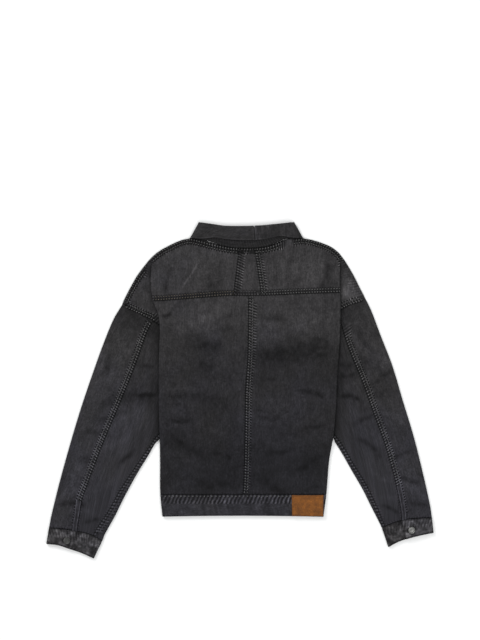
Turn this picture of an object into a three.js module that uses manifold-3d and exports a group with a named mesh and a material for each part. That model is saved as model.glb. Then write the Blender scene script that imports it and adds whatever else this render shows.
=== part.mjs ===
// A washed-black denim jacket laid flat, face down, with its back up.
// Millimetres. +X is to the right and +Y towards the collar as the back is seen, +Z is up.
// The origin is the middle of the jacket's box, on the surface that it lies on.
// "left" and "right" are the sides of that view.

import * as THREE from "three";
import { mergeVertices } from "three/addons/utils/BufferGeometryUtils.js";
import Module from "manifold-3d";

// Cloth and seams
const DENIM = 1.2; // one layer of washed denim
const BAND = 1.8; // the doubled cloth of the waistband and cuffs
const COLLAR = 1.4; // the doubled cloth of the collar
const LEATHER = 1.6;
const SEAM_GAP = 0.3;
const REST_GAP = 0.3; // between a layer and what lies on it
const LAP_RISE = 0.6; // how far a felled seam stands proud
const LAP_WIDTH = 11;
const LAP_SLOPE = 1.5;

// Heights of the middle of each layer above the surface
const FLOOR = DENIM / 2;
const SLEEVE_TOP = 3.4;
const SLEEVE_CROWN = 2; // more, along the middle of a sleeve
const CAP_CROWN = 1.5; // more, on the cap of a shoulder
const FOLD_RADIUS = 0.85; // of the body's folds where they lie on a sleeve
const FOLD_TOP = SLEEVE_TOP + 4 * FOLD_RADIUS;
const FOLD_RETURN = SLEEVE_TOP + 2 * FOLD_RADIUS;
const SIDE_TOP = 4.4; // the body's edge below the sleeves
const BACK_MIDDLE = 4.7;
const SHOULDER_EDGE = DENIM + 2 * REST_GAP + FLOOR; // the yoke's edge, just above the front's

// The body's side folds, a row for each height. left and right are the fold's edge, and
// leftUnder and rightUnder are how far the cloth runs back in under it.
const SIDE_FOLDS = [
  { y: -291, left: -178.5, right: 192, leftUnder: 13, rightUnder: 13 },
  { y: -238, left: -183.5, right: 199, leftUnder: 13, rightUnder: 13 },
  { y: -165, left: -184, right: 205, leftUnder: 13, rightUnder: 13 },
  { y: -125, left: -184.5, right: 211.5, leftUnder: 13, rightUnder: 13 },
  { y: -110, left: -185, right: 214.5, leftUnder: 10, rightUnder: 9 },
  { y: -34, left: -187, right: 221, leftUnder: 26, rightUnder: 21 },
  { y: 35, left: -187, right: 223.5, leftUnder: 30, rightUnder: 28 },
  { y: 97, left: -186, right: 228, leftUnder: 27, rightUnder: 30 },
  { y: 139, left: -184.5, right: 230.5, leftUnder: 12, rightUnder: 26 },
  { y: 173, left: -187.5, right: 231, leftUnder: 12.5, rightUnder: 12 },
  { y: 208, left: -200.5, right: 231, leftUnder: 13, rightUnder: 11 },
  { y: 254, left: -205.5, right: 229.5, leftUnder: 5, rightUnder: 5 },
  { y: 282, left: -203.5, right: 230, leftUnder: 0.5, rightUnder: 0.5 },
  { y: 310, left: -201, right: 230, leftUnder: 0.5, rightUnder: 0.5 },
];
const PLEAT_START = { high: 303, low: 284 }; // the fold turns over between these heights
const FLAT_TURN = THREE.MathUtils.degToRad(30); // the turn that is left of it at the shoulder
const UNDERARM_Y = -110;
const UNDERARM_RUN = 35; // the fold comes down to the surface over this length
const FOLD_REACH = { calm: 8, near: 36, far: 100 }; // how far in the cloth follows a fold's level

// The shoulder line, which is the outline from the neck to the sleeve
const SHOULDER = [
  { y: 194, left: -273, right: 298 },
  { y: 207.7, left: -267, right: 290.5 },
  { y: 235, left: -253, right: 276 },
  { y: 263, left: -237, right: 262 },
  { y: 290.5, left: -216.5, right: 246 },
  { y: 304, left: -205, right: 237 },
  { y: 318, left: -189, right: 225.5 },
  { y: 331.5, left: -166, right: 206.5 },
  { y: 345, left: -136, right: 169 },
  { y: 349.5, left: -115, right: 145 },
];
const NECK_POINT = { left: -115, right: 145 };
const SHOULDER_ROLL = { width: 15, slant: 0.85, blend: 22 }; // the cloth comes down to the edge

// Seams of the back
const NECK_SEAM = [
  { x: -115, y: 349.5 },
  { x: -100, y: 346.5 },
  { x: -62, y: 336.5 },
  { x: -23, y: 328.5 },
  { x: 16, y: 326.5 },
  { x: 53, y: 328.5 },
  { x: 78, y: 334.5 },
  { x: 104, y: 344.5 },
  { x: 145, y: 349.5 },
];
const YOKE_SEAM = [
  { x: -201, y: 205.5 },
  { x: -177, y: 206.5 },
  { x: -99, y: 212.5 },
  { x: -23, y: 218 },
  { x: 16, y: 218 },
  { x: 74, y: 219 },
  { x: 138, y: 222 },
  { x: 231, y: 225 },
];
const HIDDEN_SEAM_Y = { left: 139, right: 173 }; // where the yoke seam meets the armhole
const BACK_WIDTH = 200;
const CENTRE_SEAM = [
  { y: -240, x: 7 },
  { y: -211, x: 9 },
  { y: -110, x: 11.5 },
  { y: -11, x: 13 },
  { y: 88, x: 18.5 },
  { y: 218, x: 20.5 },
];
const WEDGE = [
  { y: 218, left: -15, right: 49.5 },
  { y: 272, left: -8, right: 42 },
  { y: 327, left: -1.5, right: 33 },
];
const WAIST_SEAM_Y = -240;
const HEM = { y: -291, bow: 2.5, bowHalf: 190 };

// Armholes, from the shoulder point to the underarm
const ARMHOLE = [
  { at: 0, leftX: -273, leftY: 194, rightX: 290.5, rightY: 207.7 },
  { at: 0.13, leftX: -230, leftY: 174.3, rightX: 245, rightY: 192 },
  { at: 0.22, leftX: -200, leftY: 159.4, rightX: 218.5, rightY: 173 },
  { at: 0.31, leftX: -172.5, leftY: 138.7, rightX: 204.5, rightY: 143.3 },
  { at: 0.43, leftX: -159, leftY: 97.3, rightX: 197.5, rightY: 99.6 },
  { at: 0.6, leftX: -156.5, leftY: 35.2, rightX: 195.5, rightY: 35.2 },
  { at: 0.79, leftX: -161, leftY: -33.8, rightX: 200, rightY: -33.8 },
  { at: 1, leftX: -182, leftY: -110, rightX: 215, rightY: -110 },
];
const CAP_FROM = { left: 0.31, right: 0.22 }; // the armhole's share that the yoke's cap reaches
const CAP_TO = 0.03;
const CAP_END_RISE = 13; // the cap's end edge is this much higher at the shoulder line
const CAP_BULGE = { from: 0.25, to: 0.6 }; // where the cap's crown begins and is full

// Sleeves: the outer and inner edges from the armhole to the cuff, then the cuffs' two edges
// from the outer to the inner corner
const SLEEVE_OUTER = [
  { at: 0, leftX: -273, leftY: 194, rightX: 290.5, rightY: 207.7 },
  { at: 0.05, leftX: -290, leftY: 166, rightX: 302.5, rightY: 182.5 },
  { at: 0.16, leftX: -313, leftY: 111, rightX: 323.5, rightY: 127 },
  { at: 0.3, leftX: -338, leftY: 42, rightX: 350.5, rightY: 57.5 },
  { at: 0.46, leftX: -366, leftY: -40.5, rightX: 374.5, rightY: -22.5 },
  { at: 0.62, leftX: -391, leftY: -123.5, rightX: 399, rightY: -103 },
  { at: 0.78, leftX: -414, leftY: -206.5, rightX: 419.5, rightY: -183.5 },
  { at: 0.94, leftX: -434, leftY: -287, rightX: 437.5, rightY: -264 },
  { at: 1, leftX: -440, leftY: -317.5, rightX: 442, rightY: -293.5 },
];
const SLEEVE_INNER = [
  { at: 0, leftX: -182, leftY: -110, rightX: 215, rightY: -110 },
  { at: 0.06, leftX: -195.5, leftY: -123.5, rightX: 220, rightY: -121.5 },
  { at: 0.18, leftX: -211.5, leftY: -151, rightX: 235, rightY: -146 },
  { at: 0.35, leftX: -237, leftY: -192.5, rightX: 255.5, rightY: -182 },
  { at: 0.58, leftX: -267, leftY: -247.5, rightX: 283, rightY: -229.5 },
  { at: 0.76, leftX: -287.5, leftY: -289, rightX: 301, rightY: -266 },
  { at: 0.93, leftX: -310.5, leftY: -330.5, rightX: 319.5, rightY: -302 },
  { at: 1, leftX: -316.5, leftY: -346, rightX: 326.5, rightY: -316.5 },
];
const CUFF_TOP = [
  { at: 0, leftX: -440, leftY: -317.5, rightX: 442, rightY: -293.5 },
  { at: 0.25, leftX: -408.5, leftY: -319, rightX: 412.5, rightY: -294.5 },
  { at: 0.5, leftX: -377.5, leftY: -324.5, rightX: 383, rightY: -297.5 },
  { at: 0.75, leftX: -347.5, leftY: -331, rightX: 354, rightY: -305 },
  { at: 1, leftX: -316.5, leftY: -346, rightX: 326.5, rightY: -316.5 },
];
const CUFF_END = [
  { at: 0, leftX: -445.6, leftY: -353.5, rightX: 445.6, rightY: -328 },
  { at: 0.25, leftX: -418.5, leftY: -356.5, rightX: 419.5, rightY: -333 },
  { at: 0.5, leftX: -391, leftY: -365.5, rightX: 393, rightY: -339.5 },
  { at: 0.75, leftX: -363.5, leftY: -375, rightX: 366.5, rightY: -348 },
  { at: 1, leftX: -336.5, leftY: -387.1, rightX: 341.5, rightY: -361 },
];

// A sleeve's two seams, as shares of its width from the outer edge
const SLEEVE_SEAMS = [
  { at: 0, leftBack: 0.215, rightBack: 0.19, leftInner: 0.965, rightInner: 0.965 },
  { at: 0.15, leftBack: 0.25, rightBack: 0.237, leftInner: 0.945, rightInner: 0.935 },
  { at: 0.38, leftBack: 0.285, rightBack: 0.278, leftInner: 0.918, rightInner: 0.928 },
  { at: 0.6, leftBack: 0.308, rightBack: 0.33, leftInner: 0.88, rightInner: 0.915 },
  { at: 0.76, leftBack: 0.34, rightBack: 0.4, leftInner: 0.873, rightInner: 0.915 },
  { at: 0.85, leftBack: 0.37, rightBack: 0.455, leftInner: 0.862, rightInner: 0.925 },
  { at: 0.92, leftBack: 0.44, rightBack: 0.51, leftInner: 0.85, rightInner: 0.94 },
  { at: 1, leftBack: 0.515, rightBack: 0.585, leftInner: 0.835, rightInner: 0.95 },
];
const SLEEVE_LENGTH = 500;
const SLEEVE_WIDTH = 200;
const ARMHOLE_GAP = 0.5;
const SLEEVE_CLEAR = { from: 2, to: 45, below: 1.5 }; // the crown begins this far from the body
const CROWN_FROM_ARMHOLE = 0.2;
const CROWN_AT_CUFF = { from: 0.85, less: 0.45 };
const FOLDS_FROM_ARMHOLE = 0.15;
const PLACKET = { width: 17, wall: 1, leftFrom: 0.85, rightFrom: 0.81 };

// Cuffs
const CUFF_OPENING = { left: 0.53, right: 0.61 }; // the upper end's edge, as a share of the width
const CUFF_LAP = 17; // the lower end runs this far on beneath it
const CUFF_UNDER = 4.2;
const CUFF_OVER = CUFF_UNDER + BAND + REST_GAP;
const CUFF_EDGE = 5;
const CUFF_LENGTH = 42;
const CUFF_WIDTH = 126;
const CUFF_BUTTON = { left: 0.39, right: 0.45, down: 0.6 };
const BUTTON = { radius: 8, height: 3.4, rim: 1.4, dish: 0.8, foot: 5.2, footHeight: 0.9 };
const BUTTON_EDGE = { under: 0.3, over: 0.6 }; // the slope of its edge below and above
const BUTTON_FACES = 16;

// Collar: a stand and a leaf that bend round from the back to the front
const LEAF_OFF = COLLAR + 2 * REST_GAP; // the leaf's distance from the stand
const RING = { x: 15, halfAtSeam: 126, halfAtFold: 106, backZ: 5.4, rise: 3.4 };
const RING_FRONT_Z = LEAF_OFF + COLLAR / 2;
const RING_DROP = 85; // the front neckline's lowest point below the sides
const RING_SIDE_Y = 349.5;
const RING_TURN = 0.06; // the share of the collar's path that each side's bend takes
const RING_BACK_FROM = 0.25 + RING_TURN / 2;
const RING_BEND = 3;
const RING_SPREAD = 2; // the sides slant, so a layer there stands further out
const FOLD_LINE_INSET = 2.5;
const COLLAR_FOLD = [
  { x: -93, y: 387.1 },
  { x: -57, y: 382 },
  { x: -35, y: 379 },
  { x: 15, y: 378.6 },
  { x: 50, y: 380 },
  { x: 72, y: 382 },
  { x: 120, y: 387.1 },
];
const STAND_FRONT = 36;
const STAND_FROM = { middle: 0.015, side: 0.17 }; // the stand's edges, as shares of its height
const STAND_TO = { flat: 0.97, side: 0.87 };
const LEAF_COVER = { back: 0.62, side: 0.93, front: 0.98 }; // the share of the stand it covers
const LEAF_SIDE = { from: 0.55, to: 0.95 }; // where the cover goes over to that of the side
const LEAF_LIFT = 1.5; // its lower edge stands off the stand by this much more
const LEAF_ROLL = 0.4;
const LEAF_SEAM_GAP = 0.0008; // from the leaf's seam, as shares of the collar's path
const LEAF_SEAM_ROOM = 0.012;
const COLLAR_SEAM_X = 33;

// Waistband and what is on it
const WAISTBAND_TOP = 5.3;
const PATCH = { from: 119, to: 192, drop: 1.5 };

// The closed front, which lies face down
const FRONT_X = 10;
const FRONT_LAP = 19;
const FRONT_LAP_INSET = 2; // the upper layer of the lap ends this much inside the strip
const FRONT_LAP_STEP = 9; // and goes down to the surface over this length
const BAND_LAP_STEP = 10;
const BAND_LAP_RISE = 0.5;
const NECK_CLEAR = 1.5; // between the fronts and the collar, along the curved neckline
const SIDE_SEAM_CLEAR = 1;
const FRONT_TUCK = { from: -122, to: -106 }; // the side seam goes over to the armhole here
const FRONT_BUTTONS = 5;
const FRONT_BUTTON = { first: -195, pitch: 105, radius: 8, height: 1.1, hole: 8.6, dish: 0.3 };
const FRONT_BUTTON_FACES = 14;
const WAIST_BUTTON_HEIGHT = BAND - 0.1;
const FLAT_SHARE = 0.7; // of a front button's radius, round its dish
const HOLE_OVERRUN = 2;

// The largest folds, a row each. angle is counter-clockwise from +X, rise is up from the cloth.
const BACK_FOLDS = [
  { x: -141, y: 190, angle: 27, length: 85, width: 9, rise: -0.8 },
  { x: -78, y: 162, angle: 19, length: 140, width: 15, rise: 1.2 },
  { x: -80, y: 108, angle: -23, length: 75, width: 13, rise: -0.9 },
  { x: 117, y: 85, angle: -2, length: 200, width: 17, rise: -0.9 },
  { x: -76, y: 58, angle: 0, length: 45, width: 14, rise: -0.8 },
  { x: -95, y: -22, angle: -2, length: 155, width: 11, rise: -0.9 },
  { x: -115, y: -143, angle: -27, length: 130, width: 11, rise: -0.9 },
  { x: -92, y: -163, angle: -25, length: 127, width: 12, rise: 1 },
  { x: -61, y: -211, angle: -11, length: 124, width: 10, rise: -0.8 },
  { x: 69, y: -217, angle: -21, length: 98, width: 10, rise: -0.8 },
  { x: 120, y: -120, angle: 14, length: 150, width: 15, rise: 0.9 },
];
const SLEEVE_FOLDS = [
  { x: -260, y: -22, angle: 0, length: 138, width: 13, rise: -1 },
  { x: -253, y: -63, angle: 32, length: 108, width: 17, rise: 0.9 },
  { x: -345, y: -190, angle: -14, length: 90, width: 14, rise: 0.8 },
  { x: 307, y: 54, angle: -30, length: 60, width: 12, rise: -0.9 },
  { x: 328, y: -5, angle: 18, length: 50, width: 11, rise: -0.8 },
  { x: 335, y: -110, angle: -25, length: 100, width: 15, rise: 0.9 },
];

// Looks
const WASHED_BLACK = "#3a393c";
const FADED_BLACK = "#454447";
const TAN = "#7b5030";
const PEWTER = "#8a8a88";

const SIDES = ["left", "right"];
const OUTWARD = { left: -1, right: 1 };

const wasm = await Module();
wasm.setup();

const { lerp, smoothstep } = THREE.MathUtils;

// A smooth value read from a table's column, carried on straight past its ends
function reader(rows, key, column) {
  const sorted = [...rows].sort((a, b) => a[key] - b[key]);
  const keys = sorted.map((row) => row[key]);
  const values = sorted.map((row) => row[column]);
  const last = keys.length - 1;
  const slopeAt = (i) => {
    const before = Math.max(i - 1, 0);
    const after = Math.min(i + 1, last);
    return (values[after] - values[before]) / (keys[after] - keys[before]);
  };
  return (at) => {
    if (at <= keys[0]) return values[0] + (at - keys[0]) * slopeAt(0);
    if (at >= keys[last]) return values[last] + (at - keys[last]) * slopeAt(last);
    let i = 0;
    while (at > keys[i + 1]) i += 1;
    const span = keys[i + 1] - keys[i];
    const f = (at - keys[i]) / span;
    const g = 1 - f;
    const start = values[i] * (1 + 2 * f) + slopeAt(i) * span * f;
    const end = values[i + 1] * (1 + 2 * g) - slopeAt(i + 1) * span * g;
    return start * g * g + end * f * f;
  };
}

// A curve seen from above, read from a table by its column "at"
function planCurve(rows, side) {
  const x = reader(rows, "at", `${side}X`);
  const y = reader(rows, "at", `${side}Y`);
  return (at) => new THREE.Vector2(x(at), y(at));
}

// What the folds of a table add to the height at a point
function foldRise(folds, x, y) {
  let rise = 0;
  for (const fold of folds) {
    const turn = THREE.MathUtils.degToRad(fold.angle);
    const along = (x - fold.x) * Math.cos(turn) + (y - fold.y) * Math.sin(turn);
    const across = (y - fold.y) * Math.cos(turn) - (x - fold.x) * Math.sin(turn);
    const fade = 1 - smoothstep(Math.abs(along), fold.length * 0.25, fold.length * 0.6);
    rise += fold.rise * fade * Math.exp(-((across / fold.width) ** 2));
  }
  return rise;
}

// Evenly spaced values from 0 to 1
const steps = (count) => Array.from({ length: count + 1 }, (_, i) => i / count);

// Steps from 0 to 1 over a length, with a felled lap at the start or the end
function lappedSteps(count, length, lapAtStart, lapAtEnd) {
  const lap = LAP_WIDTH / length;
  const slope = LAP_SLOPE / length;
  const from = lapAtStart ? lap + slope : 0;
  const to = lapAtEnd ? 1 - lap - slope : 1;
  const inner = steps(count).map((f) => lerp(from, to, f));
  return [...(lapAtStart ? [0, lap] : []), ...inner, ...(lapAtEnd ? [1 - lap, 1] : [])];
}

// The triangles of a closed wall about a grid of its middle points. outside says which way
// out is, and lift(i, j) moves its outer points out.
function wall(grid, thickness, outside = 1, lift = () => 0) {
  const columns = grid.length;
  const rows = grid[0].length;
  const faces = [1, -1].map((face) =>
    grid.map((column, i) =>
      column.map((point, j) => {
        const left = grid[Math.max(i - 1, 0)][j];
        const right = grid[Math.min(i + 1, columns - 1)][j];
        const down = column[Math.max(j - 1, 0)];
        const up = column[Math.min(j + 1, rows - 1)];
        const across = new THREE.Vector3().subVectors(right, left);
        const along = new THREE.Vector3().subVectors(up, down);
        const out = across.cross(along).normalize().multiplyScalar(outside);
        const reach = (face * thickness) / 2 + (face > 0 ? lift(i, j) : 0);
        return point.clone().addScaledVector(out, reach);
      })
    )
  );
  const positions = faces.flat(2).flatMap((point) => point.toArray());
  const at = (face, i, j) => (face * columns + i) * rows + j;
  const triangles = [];
  const quad = (a, b, c, d) => triangles.push(a, b, c, a, c, d);
  for (let i = 0; i < columns - 1; i += 1) {
    for (let j = 0; j < rows - 1; j += 1) {
      quad(at(0, i, j), at(0, i + 1, j), at(0, i + 1, j + 1), at(0, i, j + 1));
      quad(at(1, i, j), at(1, i, j + 1), at(1, i + 1, j + 1), at(1, i + 1, j));
    }
    quad(at(0, i, 0), at(1, i, 0), at(1, i + 1, 0), at(0, i + 1, 0));
    const top = rows - 1;
    quad(at(0, i + 1, top), at(1, i + 1, top), at(1, i, top), at(0, i, top));
  }
  for (let j = 0; j < rows - 1; j += 1) {
    quad(at(0, 0, j + 1), at(1, 0, j + 1), at(1, 0, j), at(0, 0, j));
    const end = columns - 1;
    quad(at(0, end, j), at(1, end, j), at(1, end, j + 1), at(0, end, j + 1));
  }
  const geometry = new THREE.BufferGeometry();
  geometry.setAttribute("position", new THREE.Float32BufferAttribute(positions, 3));
  geometry.setIndex(outside > 0 ? triangles : triangles.reverse());
  return geometry;
}

// A piece in its own mesh
function piece(name, geometry, color, roughness = 0.9, metalness = 0) {
  const material = new THREE.MeshStandardMaterial({ color, roughness, metalness });
  const mesh = new THREE.Mesh(geometry, material);
  mesh.name = name;
  return mesh;
}

// The body's side fold at a height: its edge, the level of its top, the radius and turn of
// its bends and how far the cloth runs back in
function sideFold(side, y) {
  const fold = foldReaders[side];
  const raised = smoothstep(y, UNDERARM_Y - UNDERARM_RUN, UNDERARM_Y);
  const turn = lerp(Math.PI, FLAT_TURN, smoothstep(y, PLEAT_START.low, PLEAT_START.high));
  const top = lerp(SIDE_TOP, FOLD_TOP, raised);
  const back = lerp(FLOOR, FOLD_RETURN, raised);
  const radius = (top - back) / 2;
  const under = fold.under(y);
  const drop = 2 * FOLD_RADIUS * (1 - Math.cos(turn)) + under * Math.sin(turn);
  const edge = fold.edge(y) - OUTWARD[side] * FLOOR;
  return { edge, radius, turn, under, top: y > UNDERARM_Y ? SLEEVE_TOP + drop : top };
}
const foldReaders = Object.fromEntries(
  SIDES.map((side) => [
    side,
    { edge: reader(SIDE_FOLDS, "y", side), under: reader(SIDE_FOLDS, "y", `${side}Under`) },
  ])
);
const shoulderY = Object.fromEntries(SIDES.map((side) => [side, reader(SHOULDER, side, "y")]));
const shoulderX = Object.fromEntries(SIDES.map((side) => [side, reader(SHOULDER, "y", side)]));
const neckY = reader(NECK_SEAM, "x", "y");
const yokeY = reader(YOKE_SEAM, "x", "y");
const centreX = reader(CENTRE_SEAM, "y", "x");

// The upper edge of the back's cloth: the neck seam, then the shoulder line
const isNeck = (x) => x > NECK_POINT.left && x < NECK_POINT.right;
function backTopY(side, x) {
  return isNeck(x) ? neckY(x) - SEAM_GAP : shoulderY[side](x);
}

// How much of its height the cloth keeps near the shoulder line
function shoulderShare(side, x, y) {
  const { width, slant, blend } = SHOULDER_ROLL;
  const beside = smoothstep(Math.abs(x - RING.x), RING.halfAtSeam, RING.halfAtSeam + blend);
  const below = (shoulderY[side](x) - y) * slant;
  return 1 - beside * (1 - smoothstep(below, -1, width));
}

// The middle of the back's cloth where it faces up
function backTopZ(side, x, y) {
  const fold = sideFold(side, y);
  const inside = Math.abs(fold.edge - x);
  const mix = 1 - smoothstep(inside, FOLD_REACH.near, FOLD_REACH.far);
  const calm = smoothstep(inside, FOLD_REACH.calm, FOLD_REACH.near);
  const z = lerp(BACK_MIDDLE, fold.top, mix) + calm * foldRise(BACK_FOLDS, x, y);
  return lerp(SHOULDER_EDGE, z, shoulderShare(side, x, y));
}

// Points across one side of the back, from its inner seam out. zone is top, bend, under,
// rebend or cap, and f runs from 0 to 1 within it.
function backPoint(side, innerX, zone, f, y) {
  const out = OUTWARD[side];
  const fold = sideFold(side, y);
  const bendX = fold.edge - out * fold.radius;
  if (zone === "top") {
    const x = lerp(innerX(y), bendX, f);
    return new THREE.Vector3(x, y, backTopZ(side, x, y));
  }
  const top = backTopZ(side, bendX, y);
  const bend = fold.turn * (zone === "bend" ? f : 1);
  const run = fold.under * (zone === "under" ? f : zone === "rebend" || zone === "cap" ? 1 : 0);
  const x = bendX + out * (fold.radius * Math.sin(bend) + run * Math.cos(fold.turn));
  const z = top - fold.radius * (1 - Math.cos(bend)) - run * Math.sin(fold.turn);
  if (zone !== "rebend") return new THREE.Vector3(x, y, z);
  const left = fold.turn * (1 - f);
  const back = fold.radius * (Math.sin(fold.turn) - Math.sin(left));
  const drop = fold.radius * (Math.cos(left) - Math.cos(fold.turn));
  return new THREE.Vector3(x + out * back, y, z - drop);
}

// Where a column of the back meets its upper edge, found by steps towards it
const EDGE_ROUNDS = 12;
const EDGE_STEP = 0.6;
function columnTopY(side, innerX, zone, f) {
  let y = shoulderY[side](NECK_POINT[side]);
  for (let round = 0; round < EDGE_ROUNDS; round += 1) {
    y = lerp(y, backTopY(side, backPoint(side, innerX, zone, f, y).x), EDGE_STEP);
  }
  return y;
}

const zoneColumns = (zone, count, from = 0) => steps(count).slice(from).map((f) => ({ zone, f }));

// The seam between the yoke and the back. Under the fold it slants down to the armhole, and
// the pieces lie further apart there so that they stay clear across the slant.
const UNDER_COLUMNS = 3;
const UNDER_SPREAD = 3;
function seamHeight(side, zone, f, x) {
  return zone === "under" ? lerp(yokeY(x), HIDDEN_SEAM_Y[side], f) : yokeY(x);
}
function seamSpread(zone, f) {
  const spread = { top: 1, bend: lerp(1, UNDER_SPREAD, f), under: UNDER_SPREAD };
  return (SEAM_GAP / 2) * spread[zone];
}

// A side of the yoke: it turns over the side fold, back under it and out again to the cap
const YOKE_TOP_COLUMNS = 9;
const BEND_COLUMNS = 5;
const CAP_COLUMNS = 6;
const YOKE_ROWS = 4;
const YOKE_HEIGHT = 125;
function yokeSide(side) {
  const out = OUTWARD[side];
  const seamX = reader(WEDGE, "y", side);
  const innerX = (y) => seamX(y) + (out * SEAM_GAP) / 2;
  const columns = [
    ...zoneColumns("top", YOKE_TOP_COLUMNS),
    ...zoneColumns("bend", BEND_COLUMNS, 1),
    ...zoneColumns("under", UNDER_COLUMNS, 1),
    ...zoneColumns("rebend", BEND_COLUMNS, 1),
    ...zoneColumns("cap", CAP_COLUMNS, 1),
  ];
  const rows = lappedSteps(YOKE_ROWS, YOKE_HEIGHT, true, true);
  const armhole = planCurve(ARMHOLE, side);
  const capStart = armhole(CAP_FROM[side]);
  const foldY = columnTopY(side, innerX, "rebend", 1);
  const bottomY = (zone, f, x) => {
    if (zone === "rebend") return capStart.y + SEAM_GAP;
    return seamHeight(side, zone, f, x) + seamSpread(zone, f);
  };
  const grid = columns.map(({ zone, f }) => {
    if (zone === "cap") return capColumn(side, armhole, innerX, foldY, rows, f);
    const lowX = backPoint(side, innerX, zone, f, YOKE_SEAM[0].y).x;
    const low = bottomY(zone, f, lowX);
    const high = columnTopY(side, innerX, zone, f);
    return rows.map((v) => backPoint(side, innerX, zone, f, lerp(low, high, v)));
  });
  const lift = (i, j) => {
    const { zone, f } = columns[i];
    const onLap = j < 2 || j > rows.length - 3;
    const shows = zone === "top" || (zone === "bend" && f < 0.3) || (zone === "cap" && f > 0.4);
    const bare = zone === "top" && j > 2 && isNeck(grid[i][j].x);
    return onLap && shows && !bare ? LAP_RISE : 0;
  };
  return piece(`back_yoke_${side}`, wall(grid, DENIM, out, lift), FADED_BLACK);
}

// A column of the yoke's cap, between the armhole seam and the shoulder line
function capColumn(side, armhole, innerX, foldY, rows, f) {
  const start = backPoint(side, innerX, "rebend", 1, foldY);
  const low = armhole(lerp(CAP_FROM[side], CAP_TO, f));
  const endX = shoulderX[side](armhole(CAP_TO).y + CAP_END_RISE);
  const highX = lerp(start.x, endX, f);
  const high = new THREE.Vector2(highX, shoulderY[side](highX));
  const risen = smoothstep(f, CAP_BULGE.from, CAP_BULGE.to) * (1 - f * f);
  const firstLow = armhole(CAP_FROM[side]);
  return rows.map((v) => {
    const y = lerp(low.y + SEAM_GAP, high.y, v);
    const inner = backPoint(side, innerX, "rebend", 1, lerp(firstLow.y + SEAM_GAP, foldY, v));
    const slack = inner.x - lerp(firstLow.x, start.x, v);
    const x = lerp(low.x, high.x, v) + slack * (1 - f);
    const bulge = CAP_CROWN * Math.sin(Math.PI * v) * risen;
    const level = lerp(inner.z, SLEEVE_TOP, f) + bulge;
    const share = shoulderShare(side, x, y);
    return new THREE.Vector3(x, y, lerp(SHOULDER_EDGE, level, lerp(1, share, f)));
  });
}

// The wedge in the middle of the yoke
function yokeCentre() {
  const rows = lappedSteps(YOKE_ROWS, YOKE_HEIGHT, true, false);
  const edges = SIDES.map((side) => {
    const seamX = reader(WEDGE, "y", side);
    return (y) => seamX(y) - (OUTWARD[side] * SEAM_GAP) / 2;
  });
  const grid = steps(4).map((f) => {
    const xAt = (y) => lerp(edges[0](y), edges[1](y), f);
    const low = yokeY(xAt(WEDGE[0].y)) + SEAM_GAP / 2;
    const high = neckY(xAt(WEDGE.at(-1).y)) - SEAM_GAP;
    return rows.map((v) => {
      const y = lerp(low, high, v);
      return new THREE.Vector3(xAt(y), y, backTopZ(xAt(y) < RING.x ? "left" : "right", xAt(y), y));
    });
  });
  const lift = (i, j) => (j < 2 ? LAP_RISE : 0);
  return piece("back_yoke_centre", wall(grid, DENIM, 1, lift), FADED_BLACK);
}

// A half of the back below the yoke. It turns over the side fold and runs in to the armhole,
// or lower down to the front's side seam.
const BACK_ROWS_Y = [-240, -210, -180, -150, -138, -128, -118, -108, -80, -45, -10, 25];
const BACK_UPPER_ROWS_Y = [60, 95, 125, 152, 178, 205];
const BACK_TOP_COLUMNS = 8;
function backPanel(side) {
  const out = OUTWARD[side];
  const innerX = (y) => centreX(y) + (out * SEAM_GAP) / 2;
  const laps = side === "right";
  const topSteps = lappedSteps(BACK_TOP_COLUMNS, BACK_WIDTH, laps, false);
  const columns = [
    ...topSteps.map((f) => ({ zone: "top", f })),
    ...zoneColumns("bend", BEND_COLUMNS, 1),
    ...zoneColumns("under", UNDER_COLUMNS, 1),
  ];
  const heights = [...BACK_ROWS_Y, ...BACK_UPPER_ROWS_Y];
  const [lowest, highest] = [heights[0], heights.at(-1)];
  const rows = heights.map((y) => (y - lowest) / (highest - lowest));
  const low = WAIST_SEAM_Y + SEAM_GAP / 2;
  const grid = columns.map(({ zone, f }) => {
    const x = backPoint(side, innerX, zone, f, highest).x;
    const high = seamHeight(side, zone, f, x) - seamSpread(zone, f);
    return rows.map((v) => backPoint(side, innerX, zone, f, lerp(low, high, v)));
  });
  const lift = (i) => (laps && i < 2 ? LAP_RISE : 0);
  return piece(`back_panel_${side}`, wall(grid, DENIM, out, lift), WASHED_BLACK);
}

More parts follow.
